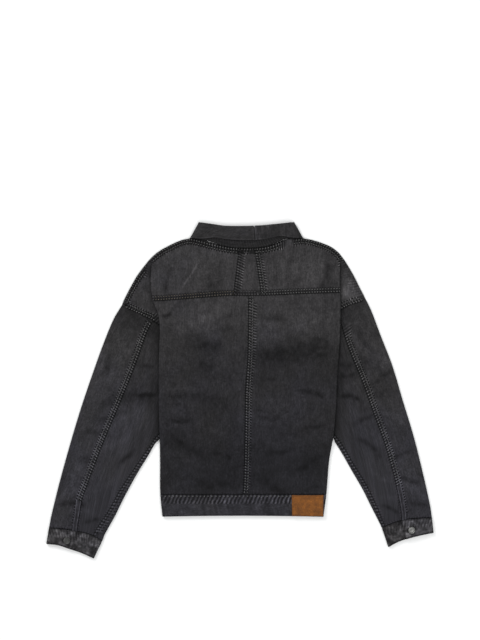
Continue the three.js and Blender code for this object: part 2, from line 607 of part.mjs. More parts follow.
// The plan of a sleeve: across from its outer edge (0) to its inner edge (1) and along from
// the armhole (0) to the cuff (1), drawn in by its folds' reach
const SLEEVE_RADIUS = (SLEEVE_TOP - FLOOR) / 2;
const SLEEVE_INSET = SLEEVE_RADIUS + FLOOR;
function edgeNormal(curve, at) {
  const along = curve(at + 0.01).sub(curve(at - 0.01)).normalize();
  return new THREE.Vector2(along.y, -along.x);
}
function sleevePlan(side) {
  const out = OUTWARD[side];
  const armhole = planCurve(ARMHOLE, side);
  const outerLine = planCurve(SLEEVE_OUTER, side);
  const innerLine = planCurve(SLEEVE_INNER, side);
  const cuffLine = planCurve(CUFF_TOP, side);
  const outerNormal = (t) => edgeNormal(outerLine, t).multiplyScalar(-out);
  const innerNormal = (t) => edgeNormal(innerLine, t).multiplyScalar(out);
  const outer = (t) => outerLine(t).addScaledVector(outerNormal(t), -SLEEVE_INSET);
  const inner = (t) => innerLine(t).addScaledVector(innerNormal(t), -SLEEVE_INSET);
  const drawnIn = (curve, t) => (s) => {
    const moved = curve(s);
    moved.addScaledVector(outerNormal(t), -SLEEVE_INSET * (1 - s));
    return moved.addScaledVector(innerNormal(t), -SLEEVE_INSET * s);
  };
  const start = drawnIn(armhole, 0);
  const end = drawnIn(cuffLine, 1);
  const at = (s, t) => {
    const point = outer(t).multiplyScalar(1 - s).addScaledVector(inner(t), s);
    point.addScaledVector(start(s), 1 - t).addScaledVector(end(s), t);
    point.addScaledVector(start(0), -(1 - s) * (1 - t)).addScaledVector(start(1), -s * (1 - t));
    return point.addScaledVector(end(0), -(1 - s) * t).addScaledVector(end(1), -s * t);
  };
  return { at, outerNormal, innerNormal };
}

// The height of a sleeve's upper cloth
function sleeveTopZ(side, s, t, x, y) {
  const outside = (x - foldReaders[side].edge(y)) * OUTWARD[side];
  const below = Math.max(0, UNDERARM_Y - y) * SLEEVE_CLEAR.below;
  const clear = smoothstep(outside + below, SLEEVE_CLEAR.from, SLEEVE_CLEAR.to);
  const atCuff = CROWN_AT_CUFF.less * smoothstep(t, CROWN_AT_CUFF.from, 1);
  const along = smoothstep(t, 0, CROWN_FROM_ARMHOLE) * (1 - atCuff);
  const across = Math.sqrt(Math.sin(Math.PI * THREE.MathUtils.clamp(s, 0, 1)));
  const folds = foldRise(SLEEVE_FOLDS, x, y) * across * smoothstep(t, 0, FOLDS_FROM_ARMHOLE);
  return SLEEVE_TOP + clear * (SLEEVE_CROWN * along * across + folds);
}

// A point of a sleeve: zone is top, outer, floor or inner
function sleevePoint(side, plan, zone, f, t) {
  if (zone === "top" || zone === "floor") {
    const { x, y } = plan.at(f, t);
    const z = zone === "floor" ? FLOOR : sleeveTopZ(side, f, t, x, y);
    return new THREE.Vector3(x, y, z);
  }
  const isOuter = zone === "outer";
  const centre = plan.at(isOuter ? 0 : 1, t);
  const turn = Math.PI * f; // from the top down to the floor
  const reach = SLEEVE_RADIUS * Math.sin(turn);
  centre.addScaledVector(isOuter ? plan.outerNormal(t) : plan.innerNormal(t), reach);
  const z = FLOOR + SLEEVE_RADIUS * (1 + Math.cos(turn));
  return new THREE.Vector3(centre.x, centre.y, z);
}

const SLEEVE_ROWS = [0, 0.02, 0.06, 0.13, 0.22, 0.32, 0.42, 0.52, 0.62, 0.72, 0.8, 0.87, 0.94, 1];
function sleeveRows() {
  const from = ARMHOLE_GAP / SLEEVE_LENGTH;
  const to = 1 - SEAM_GAP / SLEEVE_LENGTH;
  return SLEEVE_ROWS.map((t) => lerp(from, to, t));
}

// The larger piece of a sleeve: from the back seam out, under and up to the inner seam
const FLOOR_COLUMNS = 7;
const SIDE_COLUMNS = 4;
const OUTER_TOP_STEPS = [0.55, 0.25, 0]; // from the lap to the outer edge
const SLEEVE_LAP_FROM = 0.05; // the lap starts clear of the armhole
function sleeveOuter(side, plan) {
  const backSeam = reader(SLEEVE_SEAMS, "at", `${side}Back`);
  const innerSeam = reader(SLEEVE_SEAMS, "at", `${side}Inner`);
  const half = SEAM_GAP / 2 / SLEEVE_WIDTH;
  const lap = [0, LAP_WIDTH, LAP_WIDTH + LAP_SLOPE].map((w) => w / SLEEVE_WIDTH);
  const rows = sleeveRows();
  const columns = [
    ...lap.map((inset) => (t) => ["top", backSeam(t) - half - inset]),
    ...OUTER_TOP_STEPS.map((f) => (t) => ["top", (backSeam(t) - lap[2]) * f]),
    ...steps(SIDE_COLUMNS).slice(1).map((f) => () => ["outer", f]),
    ...steps(FLOOR_COLUMNS).slice(1).map((s) => () => ["floor", s]),
    ...steps(SIDE_COLUMNS).slice(0, -1).reverse().map((f) => () => ["inner", f]),
    (t) => ["top", innerSeam(t) + half],
  ];
  const grid = columns.map((column) =>
    rows.map((t) => {
      const [zone, f] = column(t);
      return sleevePoint(side, plan, zone, f, t);
    })
  );
  const lift = (i, j) => (i < 2 && rows[j] > SLEEVE_LAP_FROM ? LAP_RISE : 0);
  return piece(`sleeve_outer_${side}`, wall(grid, DENIM, -OUTWARD[side], lift), WASHED_BLACK);
}

// The smaller piece, between the two seams
const INNER_COLUMNS = 5;
function sleeveInner(side, plan) {
  const backSeam = reader(SLEEVE_SEAMS, "at", `${side}Back`);
  const innerSeam = reader(SLEEVE_SEAMS, "at", `${side}Inner`);
  const half = SEAM_GAP / 2 / SLEEVE_WIDTH;
  const grid = steps(INNER_COLUMNS).map((f) =>
    sleeveRows().map((t) => {
      const s = lerp(backSeam(t) + half, innerSeam(t) - half, f);
      return sleevePoint(side, plan, "top", s, t);
    })
  );
  return piece(`sleeve_inner_${side}`, wall(grid, DENIM, OUTWARD[side]), WASHED_BLACK);
}

// The placket strip at the sleeve's opening, laid on the sleeve beside the back seam
const PLACKET_ROWS = 5;
function sleevePlacket(side, plan) {
  const backSeam = reader(SLEEVE_SEAMS, "at", `${side}Back`);
  const wide = PLACKET.width / SLEEVE_WIDTH;
  const up = FLOOR + LAP_RISE + REST_GAP + PLACKET.wall / 2;
  const end = 1 - SEAM_GAP / SLEEVE_LENGTH;
  const grid = steps(2).map((f) =>
    steps(PLACKET_ROWS).map((v) => {
      const t = lerp(PLACKET[`${side}From`], end, v);
      const s = backSeam(t) - lerp(wide, 0, f);
      const point = sleevePoint(side, plan, "top", s, t);
      return point.setZ(point.z + up);
    })
  );
  return piece(`sleeve_placket_${side}`, wall(grid, PLACKET.wall, OUTWARD[side]), WASHED_BLACK);
}

// The plan of a cuff: across from its outer end (0) to its inner end (1), along from the
// sleeve (0) to its free edge (1)
function cuffPlan(side) {
  const topLine = planCurve(CUFF_TOP, side);
  const endLine = planCurve(CUFF_END, side);
  return (s, w) => topLine(s).lerp(endLine(s), w);
}
const CUFF_BENDS = 6;
const CUFF_COLUMNS = 4;
function cuffTopZ(side, s) {
  const opening = CUFF_OPENING[side];
  return s > opening ? CUFF_UNDER : lerp(CUFF_EDGE, CUFF_OVER, smoothstep(s, 0, opening * 0.5));
}

function cuff(side) {
  const at = cuffPlan(side);
  const opening = CUFF_OPENING[side];
  const lapEnd = opening - CUFF_LAP / CUFF_WIDTH;
  const bend = (edge, top, inward) => {
    const radius = (top - BAND / 2) / 2;
    const inset = (radius + BAND / 2) / CUFF_WIDTH;
    const centre = edge + inward * inset;
    const turn = steps(CUFF_BENDS).map((f) => Math.PI * f);
    return turn.map((a) => ({
      s: centre - (inward * radius * Math.sin(a)) / CUFF_WIDTH,
      z: BAND / 2 + radius * (1 + Math.cos(a)),
    }));
  };
  const outer = bend(0, CUFF_EDGE, 1);
  const inner = bend(1, CUFF_UNDER, -1).reverse();
  const flap = steps(CUFF_COLUMNS).slice(1).reverse().map((f) => {
    const s = lerp(outer[0].s, opening, f);
    return { s, z: cuffTopZ(side, s) };
  });
  const floor = steps(CUFF_COLUMNS).slice(1, -1).map((s) => ({ s, z: BAND / 2 }));
  const under = steps(CUFF_COLUMNS).slice(0, -1).reverse().map((f) => ({
    s: lerp(lapEnd, inner.at(-1).s, f),
    z: CUFF_UNDER,
  }));
  const section = [...flap, ...outer, ...floor, ...inner, ...under];
  const from = SEAM_GAP / CUFF_LENGTH;
  const grid = section.map(({ s, z }) =>
    steps(2).map((f) => {
      const { x, y } = at(s, lerp(from, 1, f));
      return new THREE.Vector3(x, y, z);
    })
  );
  return piece(`cuff_${side}`, wall(grid, BAND, -OUTWARD[side]), FADED_BLACK);
}

// A tack button on a cuff
function cuffButton(side) {
  const s = CUFF_BUTTON[side];
  const { x, y } = cuffPlan(side)(s, CUFF_BUTTON.down);
  const { radius, height, rim, dish, foot, footHeight } = BUTTON;
  const profile = [
    [0, 0],
    [foot, 0],
    [foot, footHeight],
    [radius, footHeight + BUTTON_EDGE.under],
    [radius, height - BUTTON_EDGE.over],
    [radius - rim / 2, height],
    [radius - rim, height - dish],
    [0, height - dish],
  ];
  const points = profile.map(([across, up]) => new THREE.Vector2(across, up));
  const geometry = new THREE.LatheGeometry(points, BUTTON_FACES);
  geometry.rotateX(Math.PI / 2);
  const mesh = piece(`cuff_button_${side}`, geometry, PEWTER, 0.4, 1);
  mesh.position.set(x, y, cuffTopZ(side, s) + BAND / 2 + REST_GAP);
  return mesh;
}

// The waistband: one doubled strip from the closed front round both sides and the back
const BAND_BENDS = 6;
const BAND_COLUMNS = { left: 4, back: 12, right: 3 };
function waistband() {
  const z0 = BAND / 2;
  const radius = (WAISTBAND_TOP - z0) / 2;
  const edge = (side, y) => foldReaders[side].edge(y) - OUTWARD[side] * (radius + z0);
  const bend = (side) =>
    steps(BAND_BENDS).map((f) => ({
      x: (y) => edge(side, y) + OUTWARD[side] * radius * Math.sin(Math.PI * f),
      z: WAISTBAND_TOP - radius * (1 - Math.cos(Math.PI * f)),
    }));
  const flat = (from, to, z, count) =>
    steps(count).slice(1, -1).map((f) => ({ x: (y) => lerp(from(y), to(y), f), z }));
  const at = (x) => () => x;
  const leftEnd = at(FRONT_X + FRONT_LAP);
  const stepStart = at(FRONT_X + FRONT_LAP + BAND_LAP_STEP);
  const rise = BAND + REST_GAP;
  const section = [
    { x: leftEnd, z: z0 },
    ...flat(leftEnd, (y) => edge("left", y), z0, BAND_COLUMNS.left),
    ...bend("left").reverse(),
    ...flat((y) => edge("left", y), (y) => edge("right", y), WAISTBAND_TOP, BAND_COLUMNS.back),
    ...bend("right"),
    ...flat((y) => edge("right", y), stepStart, z0, BAND_COLUMNS.right),
    { x: stepStart, z: z0 },
    { x: at(FRONT_X + FRONT_LAP + BAND_LAP_RISE), z: z0 + rise },
    { x: at(FRONT_X - FRONT_LAP + FRONT_LAP_INSET), z: z0 + rise },
  ];
  const grid = section.map(({ x, z }) =>
    steps(2).map((f) => {
      const top = WAIST_SEAM_Y - SEAM_GAP / 2;
      const nearX = x(HEM.y);
      const bow = HEM.bow * Math.max(0, 1 - (nearX / HEM.bowHalf) ** 2);
      const y = lerp(HEM.y + bow, top, f);
      return new THREE.Vector3(x(y), y, z);
    })
  );
  const hole = buttonHole((HEM.y + WAIST_SEAM_Y) / 2, BAND);
  return piece("waistband", cutFrom(wall(grid, BAND, 1), [hole]), FADED_BLACK);
}

// The leather patch on the waistband
const PATCH_COLUMNS = 6;
const PATCH_ROWS = 3;
function waistPatch() {
  const up = WAISTBAND_TOP + BAND / 2 + REST_GAP + LEATHER / 2;
  const grid = steps(PATCH_COLUMNS).map((f) =>
    steps(PATCH_ROWS).map((v) => {
      const low = HEM.y + PATCH.drop;
      const high = WAIST_SEAM_Y - PATCH.drop / 2;
      return new THREE.Vector3(lerp(PATCH.from, PATCH.to, f), lerp(low, high, v), up);
    })
  );
  return piece("waist_patch", wall(grid, LEATHER, 1), TAN, 0.6);
}

// The collar's path: p runs from the closed front round the left side, along the back, round
// the right side and back to the front. It gives a place across, how far it is turned to the
// back (1) or the front (0), and the way out.
function ringAt(p) {
  const front = RING_BACK_FROM - RING_TURN;
  const mirror = p > 0.5;
  const q = mirror ? 1 - p : p;
  const side = mirror ? 1 : -1;
  const flatReach = 1 - RING_BEND / RING.halfAtSeam;
  if (q < front) return { across: side * flatReach * (q / front), turn: 0, side };
  if (q > RING_BACK_FROM) {
    const share = 1 - (q - RING_BACK_FROM) / (0.5 - RING_BACK_FROM);
    return { across: side * flatReach * share, turn: Math.PI, side };
  }
  const turn = (Math.PI * (q - front)) / RING_TURN;
  const reach = flatReach + (RING_BEND / RING.halfAtSeam) * Math.sin(turn);
  return { across: side * reach, turn, side };
}

// A point of the collar's stand: w runs from the neck seam (0) to the fold line (1), and out
// moves it away from the neck
const foldLineY = reader(COLLAR_FOLD, "x", "y");
function standPoint(p, w, out) {
  const { across, turn, side } = ringAt(p);
  const toBack = (1 - Math.cos(turn)) / 2;
  const seamX = RING.x + across * RING.halfAtSeam;
  const foldX = RING.x + across * RING.halfAtFold;
  const dip = Math.sqrt(Math.max(0, 1 - across ** 2));
  const frontSeamY = RING_SIDE_Y - RING_DROP * dip;
  const seamY = lerp(frontSeamY, neckY(seamX), toBack);
  const foldY = lerp(frontSeamY + STAND_FRONT, foldLineY(foldX) - FOLD_LINE_INSET, toBack);
  const x = lerp(seamX, foldX, w);
  const y = lerp(seamY, foldY, w);
  const z = lerp(RING_FRONT_Z, RING.backZ + RING.rise * w, toBack);
  const outX = side * Math.sin(turn) * out * RING_SPREAD;
  return new THREE.Vector3(x + outX, y, z - Math.cos(turn) * out);
}

const RING_STEPS = [0.001, 0.05, 0.1, 0.15, 0.2, 0.22, 0.23, 0.24, 0.25, 0.26, 0.27, 0.28];
const RING_BACK_STEPS = [0.31, 0.34, 0.37, 0.41, 0.455, 0.5];
function ringSteps() {
  const half = [...RING_STEPS, ...RING_BACK_STEPS];
  return [...half, ...half.slice(0, -1).reverse().map((p) => 1 - p)];
}

function collarStand() {
  const grid = ringSteps().map((p) => {
    const { across, turn } = ringAt(p);
    const start = lerp(STAND_FROM.middle, STAND_FROM.side, Math.abs(across) ** 2);
    const end = lerp(STAND_TO.flat, STAND_TO.side, Math.sin(turn));
    return [start, 0.5, end].map((w) => standPoint(p, w, 0));
  });
  return piece("collar_stand", wall(grid, COLLAR, 1), WASHED_BLACK);
}

// Half of the collar's leaf: it turns over the stand's edge and comes down outside it
const LEAF_ROWS = 4;
function collarLeaf(side) {
  const seamAt = 0.5 + ((COLLAR_SEAM_X - RING.x) / RING.halfAtFold) * (0.5 - RING_BACK_FROM);
  const path = ringSteps();
  const own = side === "left"
    ? [...path.filter((p) => p < seamAt - LEAF_SEAM_ROOM), seamAt - LEAF_SEAM_GAP]
    : [seamAt + LEAF_SEAM_GAP, ...path.filter((p) => p > seamAt + LEAF_SEAM_ROOM)];
  const grid = own.map((p) => {
    const { across, turn } = ringAt(p);
    const toBack = (1 - Math.cos(turn)) / 2;
    const atSide = smoothstep(Math.abs(across), LEAF_SIDE.from, LEAF_SIDE.to);
    const backCover = lerp(LEAF_COVER.back, LEAF_COVER.side, atSide);
    const cover = lerp(LEAF_COVER.front, backCover, toBack);
    const radius = LEAF_OFF / 2;
    const fold = standPoint(p, 1, radius);
    const over = steps(LEAF_ROWS).map((f) => {
      const a = Math.PI * f;
      const point = standPoint(p, 1, radius - radius * Math.cos(a));
      point.y = fold.y + radius * Math.sin(a) + LEAF_ROLL;
      return point;
    });
    const down = steps(LEAF_ROWS).slice(1).map((f) => {
      const lift = LEAF_LIFT * f * f * toBack * (1 - atSide);
      return standPoint(p, 1 - cover * f, LEAF_OFF + lift);
    });
    return [...over, ...down];
  });
  return piece(`collar_leaf_${side}`, wall(grid, COLLAR, -1), FADED_BLACK);
}

// A front, flat on the surface beneath the back
const FRONT_ROWS_Y = [-200, -160, -130, -122, -116, -110];
const FRONT_UPPER_ROWS_Y = [218, 235, 255, 262, 266, 274, 284, 297, 315, 330, 341];
function frontPanel(side) {
  const out = OUTWARD[side];
  const armhole = planCurve(ARMHOLE, side);
  const armholeRows = steps(FLOOR_COLUMNS).slice(1, -1).map((s) => armhole(s)).reverse();
  const sideX = (y) => {
    const fold = sideFold(side, y);
    const seam = fold.edge - out * (fold.under + fold.radius + SIDE_SEAM_CLEAR);
    const tucked = smoothstep(y, FRONT_TUCK.from, FRONT_TUCK.to);
    return lerp(seam, armhole(1).x - out * ARMHOLE_GAP, tucked);
  };
  const low = WAIST_SEAM_Y + SEAM_GAP / 2;
  const rows = [
    ...[low, ...FRONT_ROWS_Y].map((y) => ({ y, x: sideX(y) })),
    ...armholeRows.map(({ x, y }) => ({ y, x: x - out * ARMHOLE_GAP })),
    ...[armhole(0).y + 1, ...FRONT_UPPER_ROWS_Y].map((y) => ({ y, x: shoulderX[side](y) })),
  ];
  const neckX = (y) => {
    const depth = (RING_SIDE_Y - NECK_CLEAR - y) / RING_DROP;
    const half = RING.halfAtSeam * Math.sqrt(Math.max(0, 1 - depth ** 2));
    return depth > 1 ? NaN : RING.x + out * (half + 3 * NECK_CLEAR);
  };
  const flatEdge = FRONT_X + out * (FRONT_LAP + SEAM_GAP);
  const lapEdge = side === "right" ? FRONT_X - FRONT_LAP + FRONT_LAP_INSET : flatEdge;
  const innerAt = (y, edge) => {
    const neck = neckX(y);
    return Number.isNaN(neck) ? edge : out * Math.max(out * edge, out * neck);
  };
  const rise = DENIM + REST_GAP;
  const stepOut = side === "right" ? FRONT_LAP_STEP : 0;
  const columns = [0, ...(side === "right" ? [-1, -2] : []), 0.25, 0.5, 0.75, 1];
  const grid = columns.map((f, column) =>
    rows.map(({ x, y }) => {
      const flat = innerAt(y, flatEdge + stepOut);
      if (side === "left" || f > 0) return new THREE.Vector3(lerp(flat, x, f), y, FLOOR);
      const edge = [lapEdge, flatEdge, flatEdge + stepOut][column];
      const open = flat > flatEdge + stepOut;
      const own = open ? flat - (2 - column) : edge;
      return new THREE.Vector3(own, y, open || column === 2 ? FLOOR : FLOOR + rise);
    })
  );
  return piece(`front_${side}`, wall(grid, DENIM, out * -1), WASHED_BLACK);
}

// The strip down the closed front, with its buttons set flush in the face that lies down
const FRONT_PLACKET_ROWS = 10;
const buttonPlaces = steps(FRONT_BUTTONS - 1).map(
  (f) => FRONT_BUTTON.first + f * FRONT_BUTTON.pitch * (FRONT_BUTTONS - 1)
);
function frontPlacket() {
  const low = WAIST_SEAM_Y + SEAM_GAP / 2;
  const high = RING_SIDE_Y - RING_DROP - 2 * NECK_CLEAR;
  const grid = steps(2).map((f) =>
    steps(FRONT_PLACKET_ROWS).map((v) => {
      const x = FRONT_X + lerp(-FRONT_LAP, FRONT_LAP, f);
      return new THREE.Vector3(x, lerp(low, high, v), FLOOR);
    })
  );
  const holes = buttonPlaces.map((y) => buttonHole(y, DENIM));
  return piece("front_placket", cutFrom(wall(grid, DENIM, 1), holes), WASHED_BLACK);
}

function disc(radius, height, dish) {
  const profile = [
    [0, dish],
    [radius * FLAT_SHARE, 0],
    [radius, 0],
    [radius, height],
    [0, height],
  ];
  const points = profile.map(([across, up]) => new THREE.Vector2(across, up));
  return new THREE.LatheGeometry(points, FRONT_BUTTON_FACES).rotateX(Math.PI / 2);
}

function buttonHole(y, depth) {
  const hole = disc(FRONT_BUTTON.hole, depth + HOLE_OVERRUN, 0);
  return hole.translate(FRONT_X, y, -HOLE_OVERRUN / 2);
}

function frontButton(name, y, height) {
  const mesh = piece(name, disc(FRONT_BUTTON.radius, height, FRONT_BUTTON.dish), PEWTER, 0.4, 1);
  mesh.position.set(FRONT_X, y, 0);
  return mesh;
}

// A solid with other solids cut out of it
function toSolid(geometry) {
  const bare = new THREE.BufferGeometry();
  bare.setAttribute("position", geometry.getAttribute("position"));
  bare.setIndex(geometry.getIndex());
  const merged = mergeVertices(bare, 1e-4);
  const vertProperties = new Float32Array(merged.getAttribute("position").array);
  const triVerts = new Uint32Array(merged.getIndex().array);
  return new wasm.Manifold(new wasm.Mesh({ numProp: 3, vertProperties, triVerts }));
}
function cutFrom(geometry, cutters) {
  let solid = toSolid(geometry);
  for (const cutter of cutters) solid = solid.subtract(toSolid(cutter));
  const { numProp, vertProperties, triVerts } = solid.getMesh();
  const result = new THREE.BufferGeometry();
  result.setAttribute("position", new THREE.Float32BufferAttribute(vertProperties, numProp));
  result.setIndex(Array.from(triVerts));
  return result;
}

const jacket = new THREE.Group();
for (const side of SIDES) {
  const plan = sleevePlan(side);
  jacket.add(yokeSide(side), backPanel(side), frontPanel(side));
  jacket.add(sleeveOuter(side, plan), sleeveInner(side, plan), sleevePlacket(side, plan));
  jacket.add(cuff(side), cuffButton(side), collarLeaf(side));
}
jacket.add(yokeCentre(), collarStand(), waistband(), waistPatch(), frontPlacket());
buttonPlaces.forEach((y, i) => {
  jacket.add(frontButton(`front_button_${i + 1}`, y, FRONT_BUTTON.height));
});
jacket.add(frontButton("waist_button", (HEM.y + WAIST_SEAM_Y) / 2, WAIST_BUTTON_HEIGHT));

export default jacket;
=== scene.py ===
"""The looks of a washed-black denim jacket that lies face down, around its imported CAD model.

Lengths are in millimetres until a mesh is made, and meshes are in metres. +X is to the right
and +Y towards the collar as the back is seen. "left" and "right" are the sides of that view.
Heights are above the surface that the jacket lies on.
"""

import bpy
import numpy as np
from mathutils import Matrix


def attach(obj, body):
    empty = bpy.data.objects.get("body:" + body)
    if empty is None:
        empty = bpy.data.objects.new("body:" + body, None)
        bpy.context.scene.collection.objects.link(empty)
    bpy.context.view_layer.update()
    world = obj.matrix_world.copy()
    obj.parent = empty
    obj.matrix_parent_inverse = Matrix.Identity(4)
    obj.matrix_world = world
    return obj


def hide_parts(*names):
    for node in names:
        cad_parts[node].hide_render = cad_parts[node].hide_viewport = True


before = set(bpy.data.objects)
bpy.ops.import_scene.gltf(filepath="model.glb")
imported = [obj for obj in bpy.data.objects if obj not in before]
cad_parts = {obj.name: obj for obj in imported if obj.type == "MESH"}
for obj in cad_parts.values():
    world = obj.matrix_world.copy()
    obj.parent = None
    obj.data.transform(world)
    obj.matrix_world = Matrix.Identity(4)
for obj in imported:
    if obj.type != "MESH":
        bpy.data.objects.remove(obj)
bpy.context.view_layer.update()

MM = 0.001
SIDES = ("left", "right")
OUT = {"left": -1, "right": 1}


def table(columns, *rows):
    """Rows of numbers, as one array for each named column."""
    return dict(zip(columns.split(), np.array(rows, float).T))


# Cloth and seams
DENIM = 1.2  # one layer of washed denim
BAND = 1.8  # the doubled cloth of the waistband and cuffs
COLLAR = 1.4  # the doubled cloth of the collar
LEATHER = 1.6
SEAM_GAP = 0.3
REST_GAP = 0.3  # between a layer and what lies on it
LAP_RISE = 0.6  # how far a felled seam stands proud
LAP_WIDTH = 11
LAP_SLOPE = 1.5
STITCH = {"share": 0.6, "pitch": 6.2, "width": 1.4, "height": 0.55}
STITCH_ROWS = (2.8, 9)  # the two rows of a felled seam, from the seam line
GATHER_ROW = 3.5  # the one row of a gathered edge
GROOVE = {"depth": 0.22, "width": 1.3}  # pressed in by a row of stitches
DITCH = {"depth": 0.4, "width": 1.6}  # along the seam line
PUCKER = {"rise": 0.3, "pitch": 2.13 * STITCH["pitch"]}
TUCK = 2.5  # how far an edge runs on under the lap that covers it
TUCK_DROP = 1.3
SEAM_REACH = 70  # how far in from an edge its seam is looked for
SEAM_FADE = (24, 30)  # a seam's pattern ends between these distances from it
SHARED_BAND = 2.5  # where two seams are equally near, neither shows over this width
FAR = 1e3  # from a point with no seam near it
CHUNK = 3000  # this many points are set against a seam at a time
GRID = 2.1  # between the meshes' points where the cloth shows
FINE_GRID = 1.9
HIDDEN_GRID = 6

# Heights of the middle of each layer
FLOOR = DENIM / 2
SLEEVE_TOP = 3.4
SLEEVE_CROWN = 2  # more, along the middle of a sleeve
CAP_CROWN = 1.5  # more, on the cap of a shoulder
FOLD_RADIUS = 0.85  # of the body's folds where they lie on a sleeve
FOLD_TOP = SLEEVE_TOP + 4 * FOLD_RADIUS
FOLD_RETURN = SLEEVE_TOP + 2 * FOLD_RADIUS
SIDE_TOP = 4.4  # the body's edge below the sleeves
BACK_MIDDLE = 4.7
SHOULDER_EDGE = DENIM + 2 * REST_GAP + FLOOR  # the yoke's edge, just above the front's

# The body's side folds: the fold's edge at each height, and how far the cloth runs in under it
SIDE_FOLDS = table(
    "y left right left_under right_under",
    (-291, -178.5, 192, 13, 13),
    (-238, -183.5, 199, 13, 13),
    (-165, -184, 205, 13, 13),
    (-125, -184.5, 211.5, 13, 13),
    (-110, -185, 214.5, 10, 9),
    (-34, -187, 221, 26, 21),
    (35, -187, 223.5, 30, 28),
    (97, -186, 228, 27, 30),
    (139, -184.5, 230.5, 12, 26),
    (173, -187.5, 231, 12.5, 12),
    (208, -200.5, 231, 13, 11),
    (254, -205.5, 229.5, 5, 5),
    (282, -203.5, 230, 0.5, 0.5),
    (310, -201, 230, 0.5, 0.5),
)
PLEAT_HIGH = 303  # the fold turns over between these heights
PLEAT_LOW = 284
FLAT_TURN = np.radians(30)  # the turn that is left of it at the shoulder
FOLD_REACH = {"calm": 8, "near": 36, "far": 100}  # how far in the cloth follows the fold's level
UNDERARM_Y = -110
UNDERARM_RUN = 35  # the fold comes down to the surface over this length

SHOULDER = table(
    "y left right",
    (194, -273, 298),
    (207.7, -267, 290.5),
    (235, -253, 276),
    (263, -237, 262),
    (290.5, -216.5, 246),
    (304, -205, 237),
    (318, -189, 225.5),
    (331.5, -166, 206.5),
    (345, -136, 169),
    (349.5, -115, 145),
)
SHOULDER_ROLL = {"width": 15, "slant": 0.85, "blend": 22}
NECK_POINT = {"left": -115, "right": 145}
NECK_SEAM = table(
    "x y",
    (-115, 349.5),
    (-100, 346.5),
    (-62, 336.5),
    (-23, 328.5),
    (16, 326.5),
    (53, 328.5),
    (78, 334.5),
    (104, 344.5),
    (145, 349.5),
)
YOKE_SEAM = table(
    "x y",
    (-201, 205.5),
    (-177, 206.5),
    (-99, 212.5),
    (-23, 218),
    (16, 218),
    (74, 219),
    (138, 222),
    (231, 225),
)
YOKE_LOW = 205.5
HIDDEN_SEAM_Y = {"left": 139, "right": 173}  # where it meets the armhole
CENTRE_SEAM = table(
    "y x", (-240, 7), (-211, 9), (-110, 11.5), (-11, 13), (88, 18.5), (218, 20.5)
)
WEDGE = table("y left right", (218, -15, 49.5), (272, -8, 42), (327, -1.5, 33))
WAIST_SEAM_Y = -240
HEM_Y = -291
HEM_BOW = 2.5
HEM_HALF = 190

# Curves seen from above: the armholes from the shoulder point to the underarm, the sleeves'
# edges from the armhole to the cuff, and the cuffs' edges from the outer to the inner corner
CURVE = "at left_x left_y right_x right_y"
ARMHOLE = table(
    CURVE,
    (0, -273, 194, 290.5, 207.7),
    (0.13, -230, 174.3, 245, 192),
    (0.22, -200, 159.4, 218.5, 173),
    (0.31, -172.5, 138.7, 204.5, 143.3),
    (0.43, -159, 97.3, 197.5, 99.6),
    (0.6, -156.5, 35.2, 195.5, 35.2),
    (0.79, -161, -33.8, 200, -33.8),
    (1, -182, -110, 215, -110),
)
CAP_FROM = {"left": 0.31, "right": 0.22}  # the armhole's share that the cap reaches
CAP_TO = 0.03
CAP_END_RISE = 13  # the cap's end edge is this much higher at the shoulder line
CAP_BULGE = (0.25, 0.6)  # where the cap's crown begins and is full
SLEEVE_OUTER = table(
    CURVE,
    (0, -273, 194, 290.5, 207.7),
    (0.05, -290, 166, 302.5, 182.5),
    (0.16, -313, 111, 323.5, 127),
    (0.3, -338, 42, 350.5, 57.5),
    (0.46, -366, -40.5, 374.5, -22.5),
    (0.62, -391, -123.5, 399, -103),
    (0.78, -414, -206.5, 419.5, -183.5),
    (0.94, -434, -287, 437.5, -264),
    (1, -440, -317.5, 442, -293.5),
)
SLEEVE_INNER = table(
    CURVE,
    (0, -182, -110, 215, -110),
    (0.06, -195.5, -123.5, 220, -121.5),
    (0.18, -211.5, -151, 235, -146),
    (0.35, -237, -192.5, 255.5, -182),
    (0.58, -267, -247.5, 283, -229.5),
    (0.76, -287.5, -289, 301, -266),
    (0.93, -310.5, -330.5, 319.5, -302),
    (1, -316.5, -346, 326.5, -316.5),
)
CUFF_TOP = table(
    CURVE,
    (0, -440, -317.5, 442, -293.5),
    (0.25, -408.5, -319, 412.5, -294.5),
    (0.5, -377.5, -324.5, 383, -297.5),
    (0.75, -347.5, -331, 354, -305),
    (1, -316.5, -346, 326.5, -316.5),
)
CUFF_END = table(
    CURVE,
    (0, -445.6, -353.5, 445.6, -328),
    (0.25, -418.5, -356.5, 419.5, -333),
    (0.5, -391, -365.5, 393, -339.5),
    (0.75, -363.5, -375, 366.5, -348),
    (1, -336.5, -387.1, 341.5, -361),
)
SLEEVE_SEAMS = table(
    "at left_back right_back left_inner right_inner",
    (0, 0.215, 0.19, 0.965, 0.965),
    (0.15, 0.25, 0.237, 0.945, 0.935),
    (0.38, 0.285, 0.278, 0.918, 0.928),
    (0.6, 0.308, 0.33, 0.88, 0.915),
    (0.76, 0.34, 0.4, 0.873, 0.915),
    (0.85, 0.37, 0.455, 0.862, 0.925),
    (0.92, 0.44, 0.51, 0.85, 0.94),
    (1, 0.515, 0.585, 0.835, 0.95),
)
SLEEVE_RADIUS = (SLEEVE_TOP - FLOOR) / 2
SLEEVE_INSET = SLEEVE_RADIUS + FLOOR
SLEEVE_LENGTH = 500
SLEEVE_WIDTH = 200
ARMHOLE_GAP = 0.5
SLEEVE_CLEAR = (2, 45)  # the crown begins and is full this far from the body
CREASE_CLEAR = (0, 14)
BELOW_UNDERARM = 1.5
CROWN_FROM_ARMHOLE = 0.2
CROWN_AT_CUFF = {"from": 0.85, "less": 0.45}
FOLDS_FROM_ARMHOLE = 0.15
